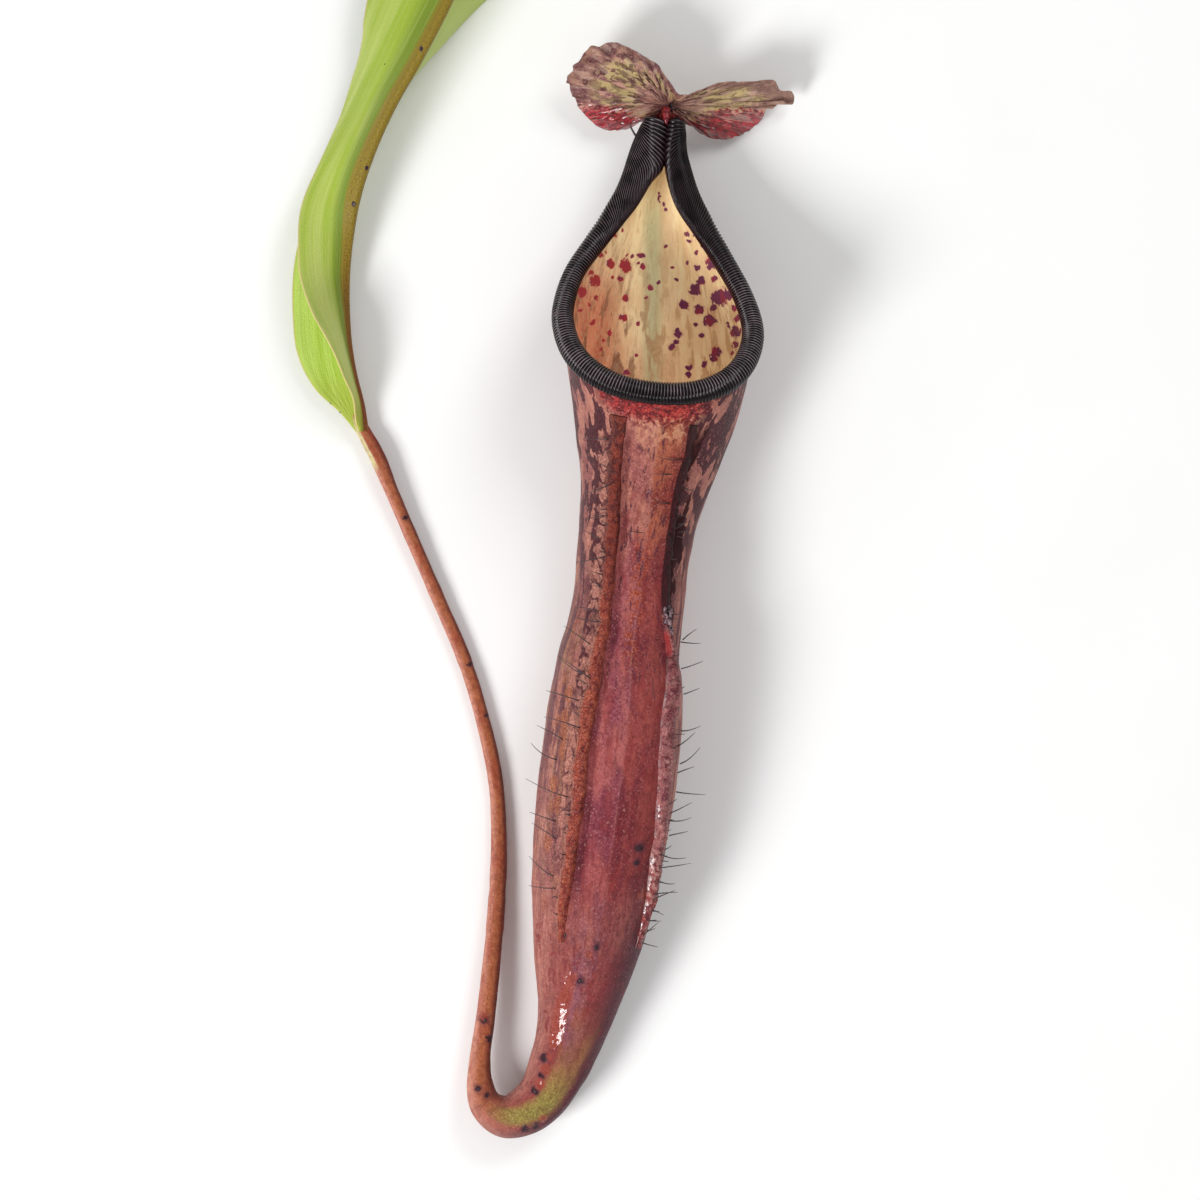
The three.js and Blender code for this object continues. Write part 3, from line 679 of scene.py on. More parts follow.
# %% [markdown]
# ## The skin's finish
# The living skin is felted with fine pale hairs, dusky rose between the wings and tan-pink on the
# flanks, where long purple-brown blotches run down from the mouth and fade out towards the foot. Under
# the lip it is red, at the foot yellow-green, and the tendril is orange-brown. Painting this by hand
# would need an image; here each tone is laid over the last through a streak, a mottle or a distance.


# %% What the parts of the skin share
def skin_values():
    """The numbers kept on the points, the noises that more than one part uses, and the line of pale
    dashes along the channel's fine ridge."""
    v = SimpleNamespace()
    v.flow, _, _, v.along = numbers("flow")
    _, v.below, v.run, v.turn = numbers("place")
    _, v.crest, v.left, v.right = numbers("lines")
    _, v.gland, v.wet, _ = numbers("marks")
    v.slow, v.clumps = drift(v.flow, 4.0, 11.0), drift(v.flow, 1.1, 1.3)
    v.tone, v.specks = step(v.slow, 0.4, 0.6), felt(v.flow, 0.42)
    v.olive, v.thin = streak(v.flow, 1.6, 26.0, 0.46, 0.05), streak(v.flow, 0.45, 14.0, 0.45, 0.05)
    v.maroon, v.fibre = streak(v.flow, 1.8, 8.0, 0.44, 0.05), streak(v.flow, 0.75, 4.6, 0.385, 0.02)
    v.ridge_line = both(band(v.crest, 0.0, 0.05, 0.3), step(v.below, 12, 22), step(v.below, 116, 100),
                        step(v.slow, 0.46, 0.56, 0.1, 1.0))
    return v


# %% The flanks
def flank_colour(v):
    """Tan-pink; over it olive stripes on the left, a dark net that turns into long stripes lower down,
    and thin lines."""
    net, stripe = streak(v.flow, 2.5, 6.5, 0.51, 0.012), streak(v.flow, 2.2, 17.0, 0.47, 0.02)
    blotch = add("Mix", {0: step(v.below, 66, 34), 2: stripe, 3: net})
    return washes(
        over(v.tone, (204, 136, 118), (166, 98, 92)),
        (both(v.olive, step(v.below, 40, 60), step(v.left, 0.5, -1.0), 0.6), (164, 118, 88)),
        (both(blotch, step(v.below, 140, 50, 0.3, 0.97)),
         over(step(v.below, 30, 80), (80, 28, 40), (112, 60, 72))),
        (both(v.thin, step(v.below, 22, 60, 0.1, 0.5)), (112, 60, 66)))


def flank_marks(v, colour):
    """A row of ovals beside the left wing, 1 / 0.26 mm apart and pushed about by noise, pale inside 0.9
    of their size with a dark rim at 1.04; and ochre dots in a strip further to the left."""
    beat = plus(both(v.along, 0.26), plus(both(v.slow, 2.4), both(v.clumps, 0.25)))
    cell_along = both(minus(sums("FRACT", beat), 0.5), 2.1)
    cell_across = plus(both(plus(v.left, 2.7), 0.66), sway(v.clumps, 1.9))
    oval = add("VectorMath", {0: add("CombineXYZ", {0: cell_across, 1: cell_along})}, 1, operation="LENGTH")
    beside = both(step(v.below, 12, 20), step(v.below, 106, 84), step(v.slow, 0.4, 0.46, 0.45, 1.0))
    window_place = add("VectorMath", {0: v.flow, 1: (1.0, 1.0, 0.7)}, operation="MULTIPLY")
    window = both(dotted(window_place, 3.0, 0.42), band(v.left, -6.2, 1.6, 0.8),
                  step(v.below, 52, 62), step(v.below, 128, 118))
    return washes(
        colour,
        (both(beside, band(oval, 1.04, 0.06, 0.16), 0.75), (92, 40, 48)),
        (both(beside, step(oval, 0.98, 0.82), 0.85), over(v.specks, (180, 112, 98), (212, 150, 132))),
        (both(window, 0.75), over(v.specks, (158, 82, 56), (196, 116, 78))))


# %% The channel between the wings
def channel_colour(v):
    """Rose, redder to the right of the fine ridge and tanner near the mouth; over it maroon streaks, a
    rusty patch, dark fibres and the ridge's pale dashes."""
    to_right = step(plus(v.crest, both(v.clumps, 1.8)), 0.5, 1.7)

    def sides(left_light, left_dark, right_light, right_dark):
        """Light to dark by the tone on each side, and from the left side's colour to the right one's."""
        return over(to_right, over(v.tone, left_light, left_dark), over(v.tone, right_light, right_dark))
    low = sides((196, 110, 106), (158, 78, 90), (174, 82, 76), (142, 58, 66))
    high = sides((206, 136, 116), (172, 98, 94), (186, 104, 78), (150, 68, 58))
    rust = both(band(v.crest, -0.6, 0.6, 1.8), band(v.below, 46, 8, 12), step(v.clumps, 0.4, 0.6))
    return washes(
        over(step(v.below, 50, 24), low, high),
        (both(v.maroon, v.specks, step(v.below, 12, 30, 0.3, 0.85)), (150, 44, 46)),
        (rust, over(v.specks, (138, 46, 40), (190, 92, 64))),
        (both(v.fibre, step(v.below, 90, 46, 0.15, 0.8)), (98, 48, 62)),
        (both(v.ridge_line, 0.16), (214, 156, 146)))


# %% The lower pitcher, the foot and the tendril
def low_colour(v):
    """By the angle: tan-rose on the left, mauve in the middle, wine-dark on the right; then streaks."""
    mauve = both(band(v.turn, -0.02, 0.05, 0.12), step(v.slow, 0.44, 0.56))
    return washes(
        over(step(v.turn, -0.36, -0.06), (196, 126, 112), (150, 62, 62)),
        (both(mauve, 0.8), (158, 96, 108)),
        (step(v.turn, 0.08, 0.32), (94, 34, 50)),
        (both(v.maroon, step(v.clumps, 0.4, 0.6), 0.9), (132, 36, 42)),
        (both(v.olive, step(v.turn, 0.2, 0.04), 0.5), (180, 102, 92)),
        (both(v.thin, 0.3), (104, 46, 56)))


def cord_colour(v):
    """Orange-brown, pinker to the right, with painted shade on its left side, maroon streaks, and a cream
    strip where it leaves the blade."""
    return washes(
        over(step(v.turn, -0.02, 0.28), (184, 106, 70), (214, 144, 122)),
        # painted shade on the cord's left side
        (step(v.turn, -0.12, -0.34), (128, 58, 42)),
        (both(v.maroon, 0.45), (168, 70, 52)),
        (both(step(v.turn, 0.1, 0.16), step(v.run, 9, 6)), (232, 214, 160)))


def foot_marks(v, colour):
    """A tan and a smaller yellow-green patch, as far as the angle is near a line that turns with the
    foot's bend; noise frays their borders."""
    green_turn = step(v.run, FOOT + 3, FOOT + 14, -0.03, 0.1)
    away = sums("ABSOLUTE", minus(v.turn, green_turn))
    near = step(plus(away, plus(both(v.slow, 0.16), both(v.clumps, 0.12))), 0.34, 0.2)
    tan = both(step(v.run, FOOT - 2, FOOT + 8), step(v.run, FOOT + 38, FOOT + 18), near)
    green = both(step(v.run, FOOT, FOOT + 9), step(v.run, FOOT + 24, FOOT + 12), near)
    return washes(
        colour,
        (both(tan, 0.8), over(v.tone, (178, 128, 82), (152, 96, 68))),
        (both(green, 0.9), over(v.specks, (140, 122, 62), (170, 162, 78))))


# %% The collar, the stains and the felt
def collar_marks(v, colour):
    """The red collar just under the lip, over a pale grainy band; noise frays their lower borders."""
    border = plus(v.below, plus(both(v.specks, 1.2), both(v.clumps, 7.0)))
    pale = both(band(v.crest, 1.5, 3.5, 4.0), step(border, 19.0, 15.5), step(v.clumps, 0.47, 0.6))
    collar = both(band(v.crest, -1.5, 5.5, 6.5), step(border, 13.8, 10.8))
    red = over(step(v.clumps, 0.42, 0.58), (132, 34, 40), (196, 54, 56))
    return washes(
        colour,
        (both(pale, 0.62), (220, 164, 128)),
        (both(collar, 0.92), over(step(v.specks, 0.0, 0.42), (74, 18, 26), red)))


def stains(v, colour):
    """A brown halo and a dark stain round each gland, and a rusty tone in the wet places."""
    return washes(
        colour,
        (step(v.gland, -0.2, 0.5, 0, 0.45), (96, 46, 66)),
        (both(step(plus(v.gland, both(v.specks, 0.2)), 0.4, 0.75), 0.92), (50, 26, 38)),
        (both(step(v.wet, 0.0, 0.5), 0.6), over(v.clumps, (196, 84, 44), (150, 50, 50))))


def felted(v, colour):
    """Dark clumps and pores and pale hairs, fewer towards the foot."""
    hairy = step(v.below, 150, 90, 0.45, 1.0)
    colour = shade(both(step(v.clumps, 0.54, 0.4), 0.5), colour, (0.6, 0.48, 0.52))
    colour = shade(both(step(v.specks, 0.5, 0.0), hairy, 0.7), colour, (0.44, 0.32, 0.36))
    hairs = both(step(v.specks, 0.74, 1.0), hairy, step(v.slow, 0.4, 0.6, 0.12, 0.4))
    return over(hairs, colour, (228, 180, 168))


# %% The whole skin
def skin_inside():
    """The channel within the wings on the flanks, with painted shadow in the groove beside the left wing,
    and darker lower down; then the lower pitcher, the tendril and all marks. Last come the dark band along
    the right wing, partly its own dark skin and partly painted shade of the wing, and painted shade on the
    skin between the lip's two collars."""
    v = skin_values()
    within = both(step(v.left, -0.6, 0.6), step(v.right, 0.6, -0.6), step(v.below, 118, 100))
    colour = over(within, flank_marks(v, flank_colour(v)), channel_colour(v))
    # painted shadow: the left wing's cast shadow, laid on the skin beside it in the channel
    groove = both(band(v.left, 2.0, 0.5, 0.8), step(v.below, 9, 14), step(v.below, 112, 100))
    colour = shade(both(groove, 0.8), colour, (0.42, 0.28, 0.34))
    colour = shade(both(step(v.below, 66, 100), within), colour, (0.84, 0.7, 0.74))
    colour = washes(colour, (step(v.below, 96, 124), low_colour(v)),
                    (step(v.run, FOOT + 13, FOOT - 6), cord_colour(v)))
    colour = felted(v, stains(v, collar_marks(v, foot_marks(v, colour))))
    # the dark band beside the right wing: partly the skin's own dark colour, partly painted shade of the
    # wing
    right_edge = plus(v.right, sway(v.slow, 14.0))
    dark_band_and_shade = both(step(v.right, -0.5, 0.2), step(right_edge, 2.6, 2.1), step(v.below, 9, 15),
                 step(v.below, 62, 52))
    # painted shade on the skin in the gap between the lip's two collars
    between = both(step(sums("ABSOLUTE", v.turn), 0.88, 0.9), step(v.below, 4.0, 3.0))
    colour = washes(colour, (both(dark_band_and_shade, 0.96), over(v.clumps, (28, 0, 4), (66, 8, 16))),
                    (between, (30, 15, 20)))
    shine = both(step(plus(v.wet, both(v.clumps, 0.9)), 0.5, 0.68), step(v.wet, 0.0, 0.15))
    height = plus(both(v.fibre, -0.3), plus(v.specks, both(v.ridge_line, 0.6)))
    return {"Base Color": colour, "Normal": bump(height, 0.14),
            "Roughness": plus(step(v.specks, 0.1, 0.9, 0.36, 0.58), both(dark_band_and_shade, 0.35)),
            "Coat Weight": both(shine, step(v.specks, 0.35, 0.6, 0.2, 1.0))}


skin = finish("felted skin", skin_inside, specular=0.17, sheen=0.04, coat_roughness=0.08)

# %% [markdown]
# ## The lining
# Seen through the mouth, the back wall is cream and tan with a soft green middle streak, long faint
# painted shadows, and two crowds of red and purple spots. The spots have their own places, so they are
# listed, and each point of the wall keeps how deep inside a spot it lies; the finish turns that into
# sharp, slightly ragged marks. The wall is thin and lets light through, and the lining stands in for
# that with a faint painted glow of its own colour.

# %% The spots inside the mouth: x, y and radius
SPOTS = np.array([
    [2.9, 73.5, 0.56], [0, 69.4, 0.56], [2.2, 67.8, 0.83], [5.2, 67.5, 1.2], [8.2, 69.7, 0.65],
    [8.7, 67.4, 0.56], [7.7, 68.1, 0.37], [6.4, 69.3, 0.37], [4, 64.9, 0.46], [-1, 64.2, 1.02],
    [-1.9, 65.8, 0.46], [2.6, 65.1, 0.37], [-3.6, 61.9, 1.02], [-0.7, 60.8, 0.46], [5.1, 60.9, 0.74],
    [4.7, 57.2, 0.74], [-1.4, 56.1, 0.56], [2, 54.1, 0.56], [0.7, 52.6, 0.46], [0.1, 50.7, 0.46],
    [7.8, 56.1, 0.42], [7.3, 49.6, 0.42], [5.4, 46.1, 0.65], [10.2, 63.3, 0.56], [11.9, 64.2, 0.42],
    [9.4, 61.2, 0.32], [-4, 58.2, 0.46], [-2.2, 59.3, 0.37], [4.5, 74.4, 0.28], [1.3, 69.7, 0.28],
    [5.3, 69.7, 0.28], [17.4, 73.9, 0.56], [18, 72.4, 0.46], [13.3, 71.6, 0.37], [14.7, 67.3, 0.32],
    [17.7, 68.1, 0.42], [19.4, 70, 0.37], [19.6, 67, 0.6], [15.4, 65, 0.37], [19.2, 62.8, 1.11],
    [20.4, 64.4, 0.74], [22.8, 68.1, 1.39], [23.1, 64.6, 0.65], [17.1, 59.8, 0.93], [20, 58.6, 0.93],
    [24.2, 61, 1.57], [25.8, 60.9, 0.74], [22.8, 58.9, 0.65], [22.2, 56.5, 1.2], [20.7, 53.6, 0.6],
    [19.3, 55.6, 0.46], [15.8, 54, 0.83], [14.6, 51.5, 0.74], [15.6, 52.4, 0.46], [26.9, 58.6, 0.56],
    [27.6, 56.5, 0.65], [25.7, 55.6, 0.46], [27.2, 53.8, 1.02], [25.8, 54.9, 0.37], [23.4, 50.1, 1.02],
    [23, 48.7, 0.65], [21.3, 47.8, 0.56], [18.2, 47.1, 0.65], [17.9, 45.7, 0.56], [27.2, 51.2, 0.56],
    [26.7, 49.6, 0.46], [20.8, 71.2, 0.32], [19.1, 73.6, 0.32], [13.2, 79, 0.37], [12.0, 82.2, 0.3],
    [12.0, 81.6, 0.32], [12.0, 81.0, 0.3], [12.0, 80.4, 0.26], [13.0, 80.0, 0.3]])


# %% The lining's finish
def lining_inside():
    """Cream and tan, redder to the lower left, a green middle streak, darker wisps, broad smears of painted
    shadow, pale cells; then a halo and the mark itself in each spot, red on the left and purple on the
    right, and painted shade under the collars. The same colour is given off as a painted glow."""
    flow, x, _, y = numbers("flow")
    _, depth, _, _ = numbers("marks")
    tone, cells = step(drift(flow, 4.0, 16.0), 0.38, 0.62), felt(flow, 0.9)
    warm = both(step(x, 8.5, -1.0), step(y, 76, 58))
    low_warm = both(step(y, 56, 44), band(x, 9.0, 3.0, 6.0))
    wisp_and_shadow_tone = over(step(x, 3, 15), (112, 52, 32), (194, 152, 100))
    ragged = add("TexNoise", {"Vector": flow, "Scale": 1.3, "Detail": 2.0})
    pick = add("TexNoise", {"Vector": flow, "Scale": 0.35, "Detail": 1.0})
    hue = washes(
        over(step(x, 3, 15), (160, 40, 52), (108, 42, 80)),
        (step(pick, 0.56, 0.62, 0, 0.5), (160, 38, 60)),
        (step(pick, 0.44, 0.38, 0, 0.6), (98, 38, 76)))
    colour = washes(
        over(tone, (250, 226, 176), (236, 202, 152)),
        (both(warm, 0.95), over(tone, (208, 116, 84), (180, 82, 56))),
        (both(low_warm, 0.6), (196, 136, 98)),
        (both(band(x, 10.6, 0.4, 2.6), step(y, 88, 74, 0, 0.7)), (172, 182, 136)),
        # thin darker wisps, and broad streaks of painted shadow, stronger below y = 76 mm
        (both(streak(flow, 0.6, 7.0, 0.42, 0.06), 0.3), wisp_and_shadow_tone),
        (both(streak(flow, 2.0, 7.0, 0.45, 0.045), step(y, 76, 50, 0.12, 0.85)), wisp_and_shadow_tone),
        (both(cells, 0.2), (236, 222, 184)),
        (step(depth, -0.35, 0.1, 0, 0.25), (200, 110, 104)),
        (step(plus(depth, sway(ragged, 1.3)), 0.04, 0.2), hue),
        # painted shade at the top of the throat, under the lip's collars
        (step(y, 94.6, 95.4), (30, 15, 20)))
    # painted glow: the lining gives off light in its own colour
    return {"Base Color": colour, "Emission Color": colour, "Roughness": step(cells, 0.0, 1.0, 0.35, 0.6),
            "Normal": bump(cells, 0.05)}


# the lining's finish, with a faint painted glow
lining = finish("lining with painted glow", lining_inside, painted_glow=0.17)

# %% [markdown]
# ## The pitcher's wall
# The wall is a sheet 1 mm thick, felted outside and smooth inside. It is two closed pieces that meet half
# way through it, because the lining's spots need far finer rows than the skin. Near the sharp fold at the
# back of the neck the rows would bunch up, so the points there are moved to the mean of their neighbours.

# %% The wall's outside
SKIN_BLUR, LINING_BLUR = 8, 16        # columns to each side that a point near the fold is averaged over
turn = np.linspace(-180, 180, 261)[:-1]
FINE_END = FOOT + 46                  # up to here the rows are closer, for the sharp bend at the foot
low_runs, high_runs = np.linspace(FOOT, FINE_END, 142), np.linspace(FINE_END, TOP, 68)[1:]


def softened(grid, share, angle, columns):
    """Each point near the back middle line moved to the mean of its neighbours to `columns` on both
    sides, as far as the wall has left the ring under the mouth and is short of the rim."""
    mean = sum(np.roll(grid, k, 1) for k in range(-columns, columns + 1)) / (2 * columns + 1)
    amount = ease(np.abs(wrapped(angle)), 145, 170) * ease(share, 0.0, 0.25) * ease(share, 1.0, 0.85)
    return grid + (mean - grid) * amount[..., None]


def swollen(points, run, angle, amount):
    """Moves each point away from the tube's middle by a swell of the given height."""
    way = unit(points - stalk_centre(run))
    a = np.radians(angle)
    height = amount * swell(9 * cos(a) + 3 * sin(a), run / 2, 2.2, 3) * ease(TOP - run, 0, 3)
    wet = np.maximum(deep_in(points, WET, 1.3), 0) * ease(cos(a), 0.0, 0.2)
    beads = 0.055 * swell(points[..., 0], points[..., 1], 0.62, 4) * ease(wet, 0, 0.3)
    return points + way * (height + beads)[..., None]


def wall_middle(turn, columns):
    """The sheet half way through the wall, from the closed end of the hollow up to the rim."""
    run, angle = np.meshgrid(np.linspace(HOLLOW, TOP, 24), turn, indexing="ij")
    share, bend = np.meshgrid(np.linspace(0, 1, 25)[1:], turn, indexing="ij")
    flare = softened((mouth_point(share, bend, 1) + mouth_point(share, bend, -1)) / 2, share, bend, columns)
    sheet = np.concatenate([stalk_point(run, angle, WALL / 2), flare])
    sheet[..., 2] = np.maximum(sheet[..., 2], WALL / 2)
    return sheet


run, angle = np.meshgrid(np.concatenate([low_runs, high_runs]), turn, indexing="ij")
body = swollen(stalk_point(run, angle), run, angle, 0.14 * ease(run, FOOT, FOOT + 12))
share, bend = np.meshgrid(np.linspace(0, 1, 37)[1:], turn, indexing="ij")
flare = softened(mouth_point(share, bend, 1), share, bend, SKIN_BLUR)
outside = np.concatenate([body, flare])
outside[..., 2] = np.maximum(outside[..., 2], 0)
fields = skin_fields(outside, np.concatenate([run, TOP + 0 * share]), np.concatenate([angle, bend]),
                     np.concatenate([0 * run, share * flare_reach(bend)]))
hidden = wall_middle(turn, SKIN_BLUR)[::-1]
fields = {name: np.concatenate([v, np.repeat(v[-1:], len(hidden), 0)]) for name, v in fields.items()}
piece(loft("pitcher_wall", np.concatenate([outside, hidden]), **fields), skin, "pitcher", "pitcher_cup")

# %% The lining of the mouth and the throat
# columns three times as close on the back, which is seen through the mouth
turn = np.concatenate([np.linspace(-100, 100, 81)[:-1], np.linspace(100, 260, 241)[:-1]])
share, bend = np.meshgrid(np.linspace(1, 0, 240), turn, indexing="ij")
run, angle = np.meshgrid(np.linspace(TOP, HOLLOW, 13)[1:], turn, indexing="ij")
throat = softened(mouth_point(share, bend, -1), share, bend, LINING_BLUR)
inner = np.concatenate([throat, stalk_point(run, angle, WALL)])
inner[..., 2] = np.maximum(inner[..., 2], WALL)
inner = np.concatenate([wall_middle(turn, LINING_BLUR), inner])
spots = np.zeros_like(inner)
spots[..., 0] = deep_in(inner, SPOTS, 1.18, 0.3)
piece(loft("pitcher_lining", inner, flow=inner[..., [0, 2, 1]], marks=spots), lining, "pitcher")

# %% [markdown]
# ## The tendril
# The thin cord between blade and pitcher uses the stalk's own function and the skin's finish, so it runs
# into the foot without a seam. A raised edge dies out along its left side, small lumps follow, and its
# first 5 mm taper to a root inside the blade's tip, which closes the joint between the two.

# %% The tendril's cord
ROOT_LENGTH = 5.0
cord_run, cord_angle = np.meshgrid(np.linspace(0, FOOT, 620), np.linspace(0, 360, 49)[:-1], indexing="ij")
cord, cord_middle = stalk_point(cord_run, cord_angle), stalk_centre(cord_run)
raised_edge = np.exp(-((cord_angle - 285) / 26) ** 2) * (ease(cord_run, 14, 1) * 0.55)
lump = 0.07 * swell(3 * cos(np.radians(cord_angle)), cord_run, 2.5, 8) * ease(FOOT - cord_run, 0, 6)
cord = cord + unit(cord - cord_middle) * (raised_edge + lump)[..., None]
slim = (0.74 + 0.26 * ease(cord_run, 0, 7))[..., None]
cord = cord_middle + (cord - cord_middle) * slim - np.array([0, 0, 0.5]) * ease(cord_run, 7, 0)[..., None]
lead = np.linspace(1, 0, 9)[:-1, None]
ahead = unit(stalk_centre(np.array(0.4)) - stalk_centre(np.array(0.0)))
root = cord[:1].mean(1, keepdims=True)
taper = (1 - 0.8 * lead ** 2)[..., None]
root_rings = root - ahead * (ROOT_LENGTH * lead)[..., None] + (cord[:1] - root) * taper
cord = np.concatenate([root_rings, cord])
cord_run, cord_angle = (np.concatenate([np.broadcast_to(w[:1], root_rings.shape[:2]), w])
                        for w in (cord_run, cord_angle))
cord[..., 2] = np.maximum(cord[..., 2], 0)
cord_fields = skin_fields(cord, cord_run, wrapped(cord_angle))
piece(loft("tendril_cord", cord, **cord_fields), skin, "tendril", "tendril")

# %% [markdown]
# ## The lip
# The peristome is a sheet rolled over the rim and pleated into hundreds of glossy ribs. A round pipe
# with a bump texture would lose the toothed outline, so each rib is real: six columns of points to a
# rib. On the neck the ribs lean more and more along the collar, so the columns of points lean with
# them instead of being cut across by them.

# %% The lip's ribs
RIB_SPACING, RIB_DEPTH, RIB_COLUMNS = 0.62, 0.35, 6
ROLL_START, ROLL_END = -52, 212       # degrees over which the sheet is rolled
OUTER_ROWS, INNER_ROWS = 42, 10
fine_angle = np.linspace(-LIP_HALF_TURN, LIP_HALF_TURN, 4001)
fine_run = np.concatenate([[0], np.cumsum(np.linalg.norm(np.diff(rim_place(fine_angle), axis=0), axis=1))])
LIP_LENGTH = fine_run[-1]
RIBS = int(LIP_LENGTH / RIB_SPACING)


def lean(u):
    """How far a rib runs along the rim for each millimetre across it: none round the open mouth, and
    up to 1.25 on the neck, the other way on the two sides."""
    def one(d):
        """1.25 x ease(d, 0, 8) x ease(d, 34, 12), for the distance d from one end of the rim."""
        return 1.25 * ease(d, 0, 8) * ease(d, 34, 12)
    return one(u) - one(LIP_LENGTH - u)


# how far the roll's middle moves into the mouth, by the angle on the left and on the right side
CLOSE_LEFT = smooth([[0, 0], [141, 0], [146, 0], [151, 0.25], [154, 0.8], [157, 0.95], [161, 0.85],
                     [165, 0.6]])
CLOSE_RIGHT = smooth([[0, 0], [135, 0], [140, 0], [146, -0.1], [151, -0.25], [156, -0.35], [161, -0.1],
                      [165, 0.1]])


def lip_point(u, roll, inner):
    """Rim place + out ((r + d) cos(roll) - d) + crest r sin(roll), where d closes the two collars. The
    outer r rises over each rib as |sin|^0.7 of half the rib's phase; the place is moved along the rim
    by lean x the distance over the roll."""
    radius0 = rim(np.interp(u, fine_run, fine_angle))[3]
    over_roll = np.radians(roll - 80) * radius0
    moved = np.clip(u + lean(u) * over_roll, 0, LIP_LENGTH)
    here = np.interp(moved, fine_run, fine_angle)
    at, out, crest, radius = rim(here)
    close = np.where(here < 0, CLOSE_LEFT(np.abs(here))[..., 0], CLOSE_RIGHT(np.abs(here))[..., 0])
    phase = u / LIP_LENGTH * RIBS
    groove = RIB_DEPTH * (1 - np.abs(sin(pi * phase)) ** 0.7)
    fade = ease(roll, ROLL_END, ROLL_END - 22) * ease(roll, ROLL_START, ROLL_START + 12)
    r = np.where(inner, radius - LIP_SHEET * (0.4 + 0.6 * fade), radius - groove * (0.3 + 0.7 * fade) - 0.1)
    a = np.radians(roll)
    return at + out * ((r + close) * cos(a) - close)[..., None] + crest * (r * sin(a))[..., None], phase


columns = np.linspace(0, LIP_LENGTH, RIBS * RIB_COLUMNS + 1)
lip_rolls = np.concatenate([np.linspace(ROLL_START, ROLL_END, OUTER_ROWS),
                            np.linspace(ROLL_END, ROLL_START, INNER_ROWS)])
lip_u, lip_roll = np.meshgrid(columns, lip_rolls, indexing="ij")
lip_grid, lip_phase = lip_point(lip_u, lip_roll, np.arange(len(lip_rolls))[None, :] >= OUTER_ROWS)
lip_flow = np.stack([lip_phase, lip_roll, lip_u], -1)
print("ribs:", RIBS, "over", LIP_LENGTH.round(1), "mm")


# %% The lip's finish
def lip_inside():
    """Very dark, wine-red towards the inner edge, with painted highlights as pale glints on the ribs'
    crests, weaker at both ends of the rim, and painted shade in the grooves between the ribs."""
    _, phase, roll, u = numbers("flow")
    rib, slow = sums("ABSOLUTE", sums("SINE", both(phase, pi))), grit(420.0, 2.0)
    # painted highlights: pale glints on the rib crests that face up
    painted_rib_glints = both(step(rib, 0.84, 1.0), band(roll, 80, 50, 45), step(slow, 0.34, 0.6, 0.36, 0.85),
                step(u, LIP_LENGTH - 30, LIP_LENGTH - 45, 0.15, 1.0), step(u, 32, 50, 0.55, 1.0))
    colour = washes(
        over(step(slow, 0.35, 0.65), (8, 4, 6), (24, 11, 16)),
        (step(roll, 120, 200, 0, 0.75), (54, 20, 30)),
        (painted_rib_glints, (144, 128, 134)),
        # painted shade in the grooves between the ribs
        (step(rib, 0.35, 0.0, 0, 0.7), (6, 4, 6)))
    return {"Base Color": colour, "Roughness": step(slow, 0.3, 0.7, 0.14, 0.25), "Normal": bump(slow, 0.05)}


piece(loft("ribbed_lip", lip_grid, flow=lip_flow), finish("glossy dark lip", lip_inside, specular=0.24),
      "lip", "peristome")

# %% [markdown]
# ## The wings
# The two wings are low ridges that end in a fringe of stiff dark hairs. The ridge is a profile carried
# down the pitcher's front; rows of grains give it its knobbly, sugared look. The left one is orange-red,
# the right one pinker, and near the mouth the right one is only a thin band of painted shade.

# %% The wings' ridges
profile_rows = measured([[-1.5, -0.4], [-1.4, 0.3], [-1.1, 0.95], [-0.4, 1.42], [0.5, 1.3], [1.3, 0.7],
                         [1.8, 0.1], [1.9, -0.4]], 2)
PROFILE, PROFILE_LENGTH = smooth(profile_rows), profile_rows[-1, 0]
# distance below the mouth and width there, on the left and on the right
WING_SCALE = {-1: smooth([[0, 0.95], [8, 0.92], [15, 0.84], [45, 0.82], [56, 0.94], [75, 0.95], [88, 0.8],
                          [100, 0.62]]),
              1: smooth([[0, 0.5], [30, 0.55], [40, 0.7], [50, 1.15], [80, 1.1], [100, 0.7]])}


def wing_place(down, side):
    """The point on the skin, the ways round and along it, and out = round x along."""
    angle = wing_rows(down)[..., 0 if side < 0 else 1]
    at = outer_point(down, angle)
    around = unit(outer_point(down, angle + 3 * side) - outer_point(down, angle - 3 * side))
    along = unit(outer_point(down - 1, angle) - outer_point(down + 1, angle))
    return at, around, along, unit(np.cross(around, along) * side), wing_rows(down)[..., 2]


def ridge(side):
    """at + round x across + out x rise, with the profile's across and rise scaled by the wing's width
    and height and raised by 0.22 mm over each grain."""
    down, way = np.meshgrid(np.linspace(-4, 102, 540), np.linspace(0, PROFILE_LENGTH, 30), indexing="ij")
    at, around, _, out, height = wing_place(down, side)
    across, rise = PROFILE(way)[..., 0], PROFILE(way)[..., 1]
    uneven = 1 + 0.4 * swell(down, 0 * down, 1.7, 33 + side)
    wide = WING_SCALE[side](down)[..., 0] * np.where(across > 0, uneven, 1.0)
    warp = 0.6 * swell(down, way * 3, 1.7, 25 + side)
    fine = grains(way * wide + warp, down + warp, 0.5, 11 + side)
    lump = fine * 0.13 + grains(way + warp, down, 1.15, 15 + side) * 0.2
    lump = lump * (0.75 + 0.45 * swell(way, down, 3.0, 27 + side))
    tall = np.maximum(rise * height * (0.6 + 0.4 * wide), -0.4) + lump * ease(rise, -0.3, 0.4) * height
    wobble = 0.25 * swell(down, 0 * down, 4.0, 21 + side)
    grid = at + around * (across * wide + wobble)[..., None] + out * (tall + 0.05)[..., None]
    flow = np.stack([way, down, lump * 5], -1)
    return grid, flow


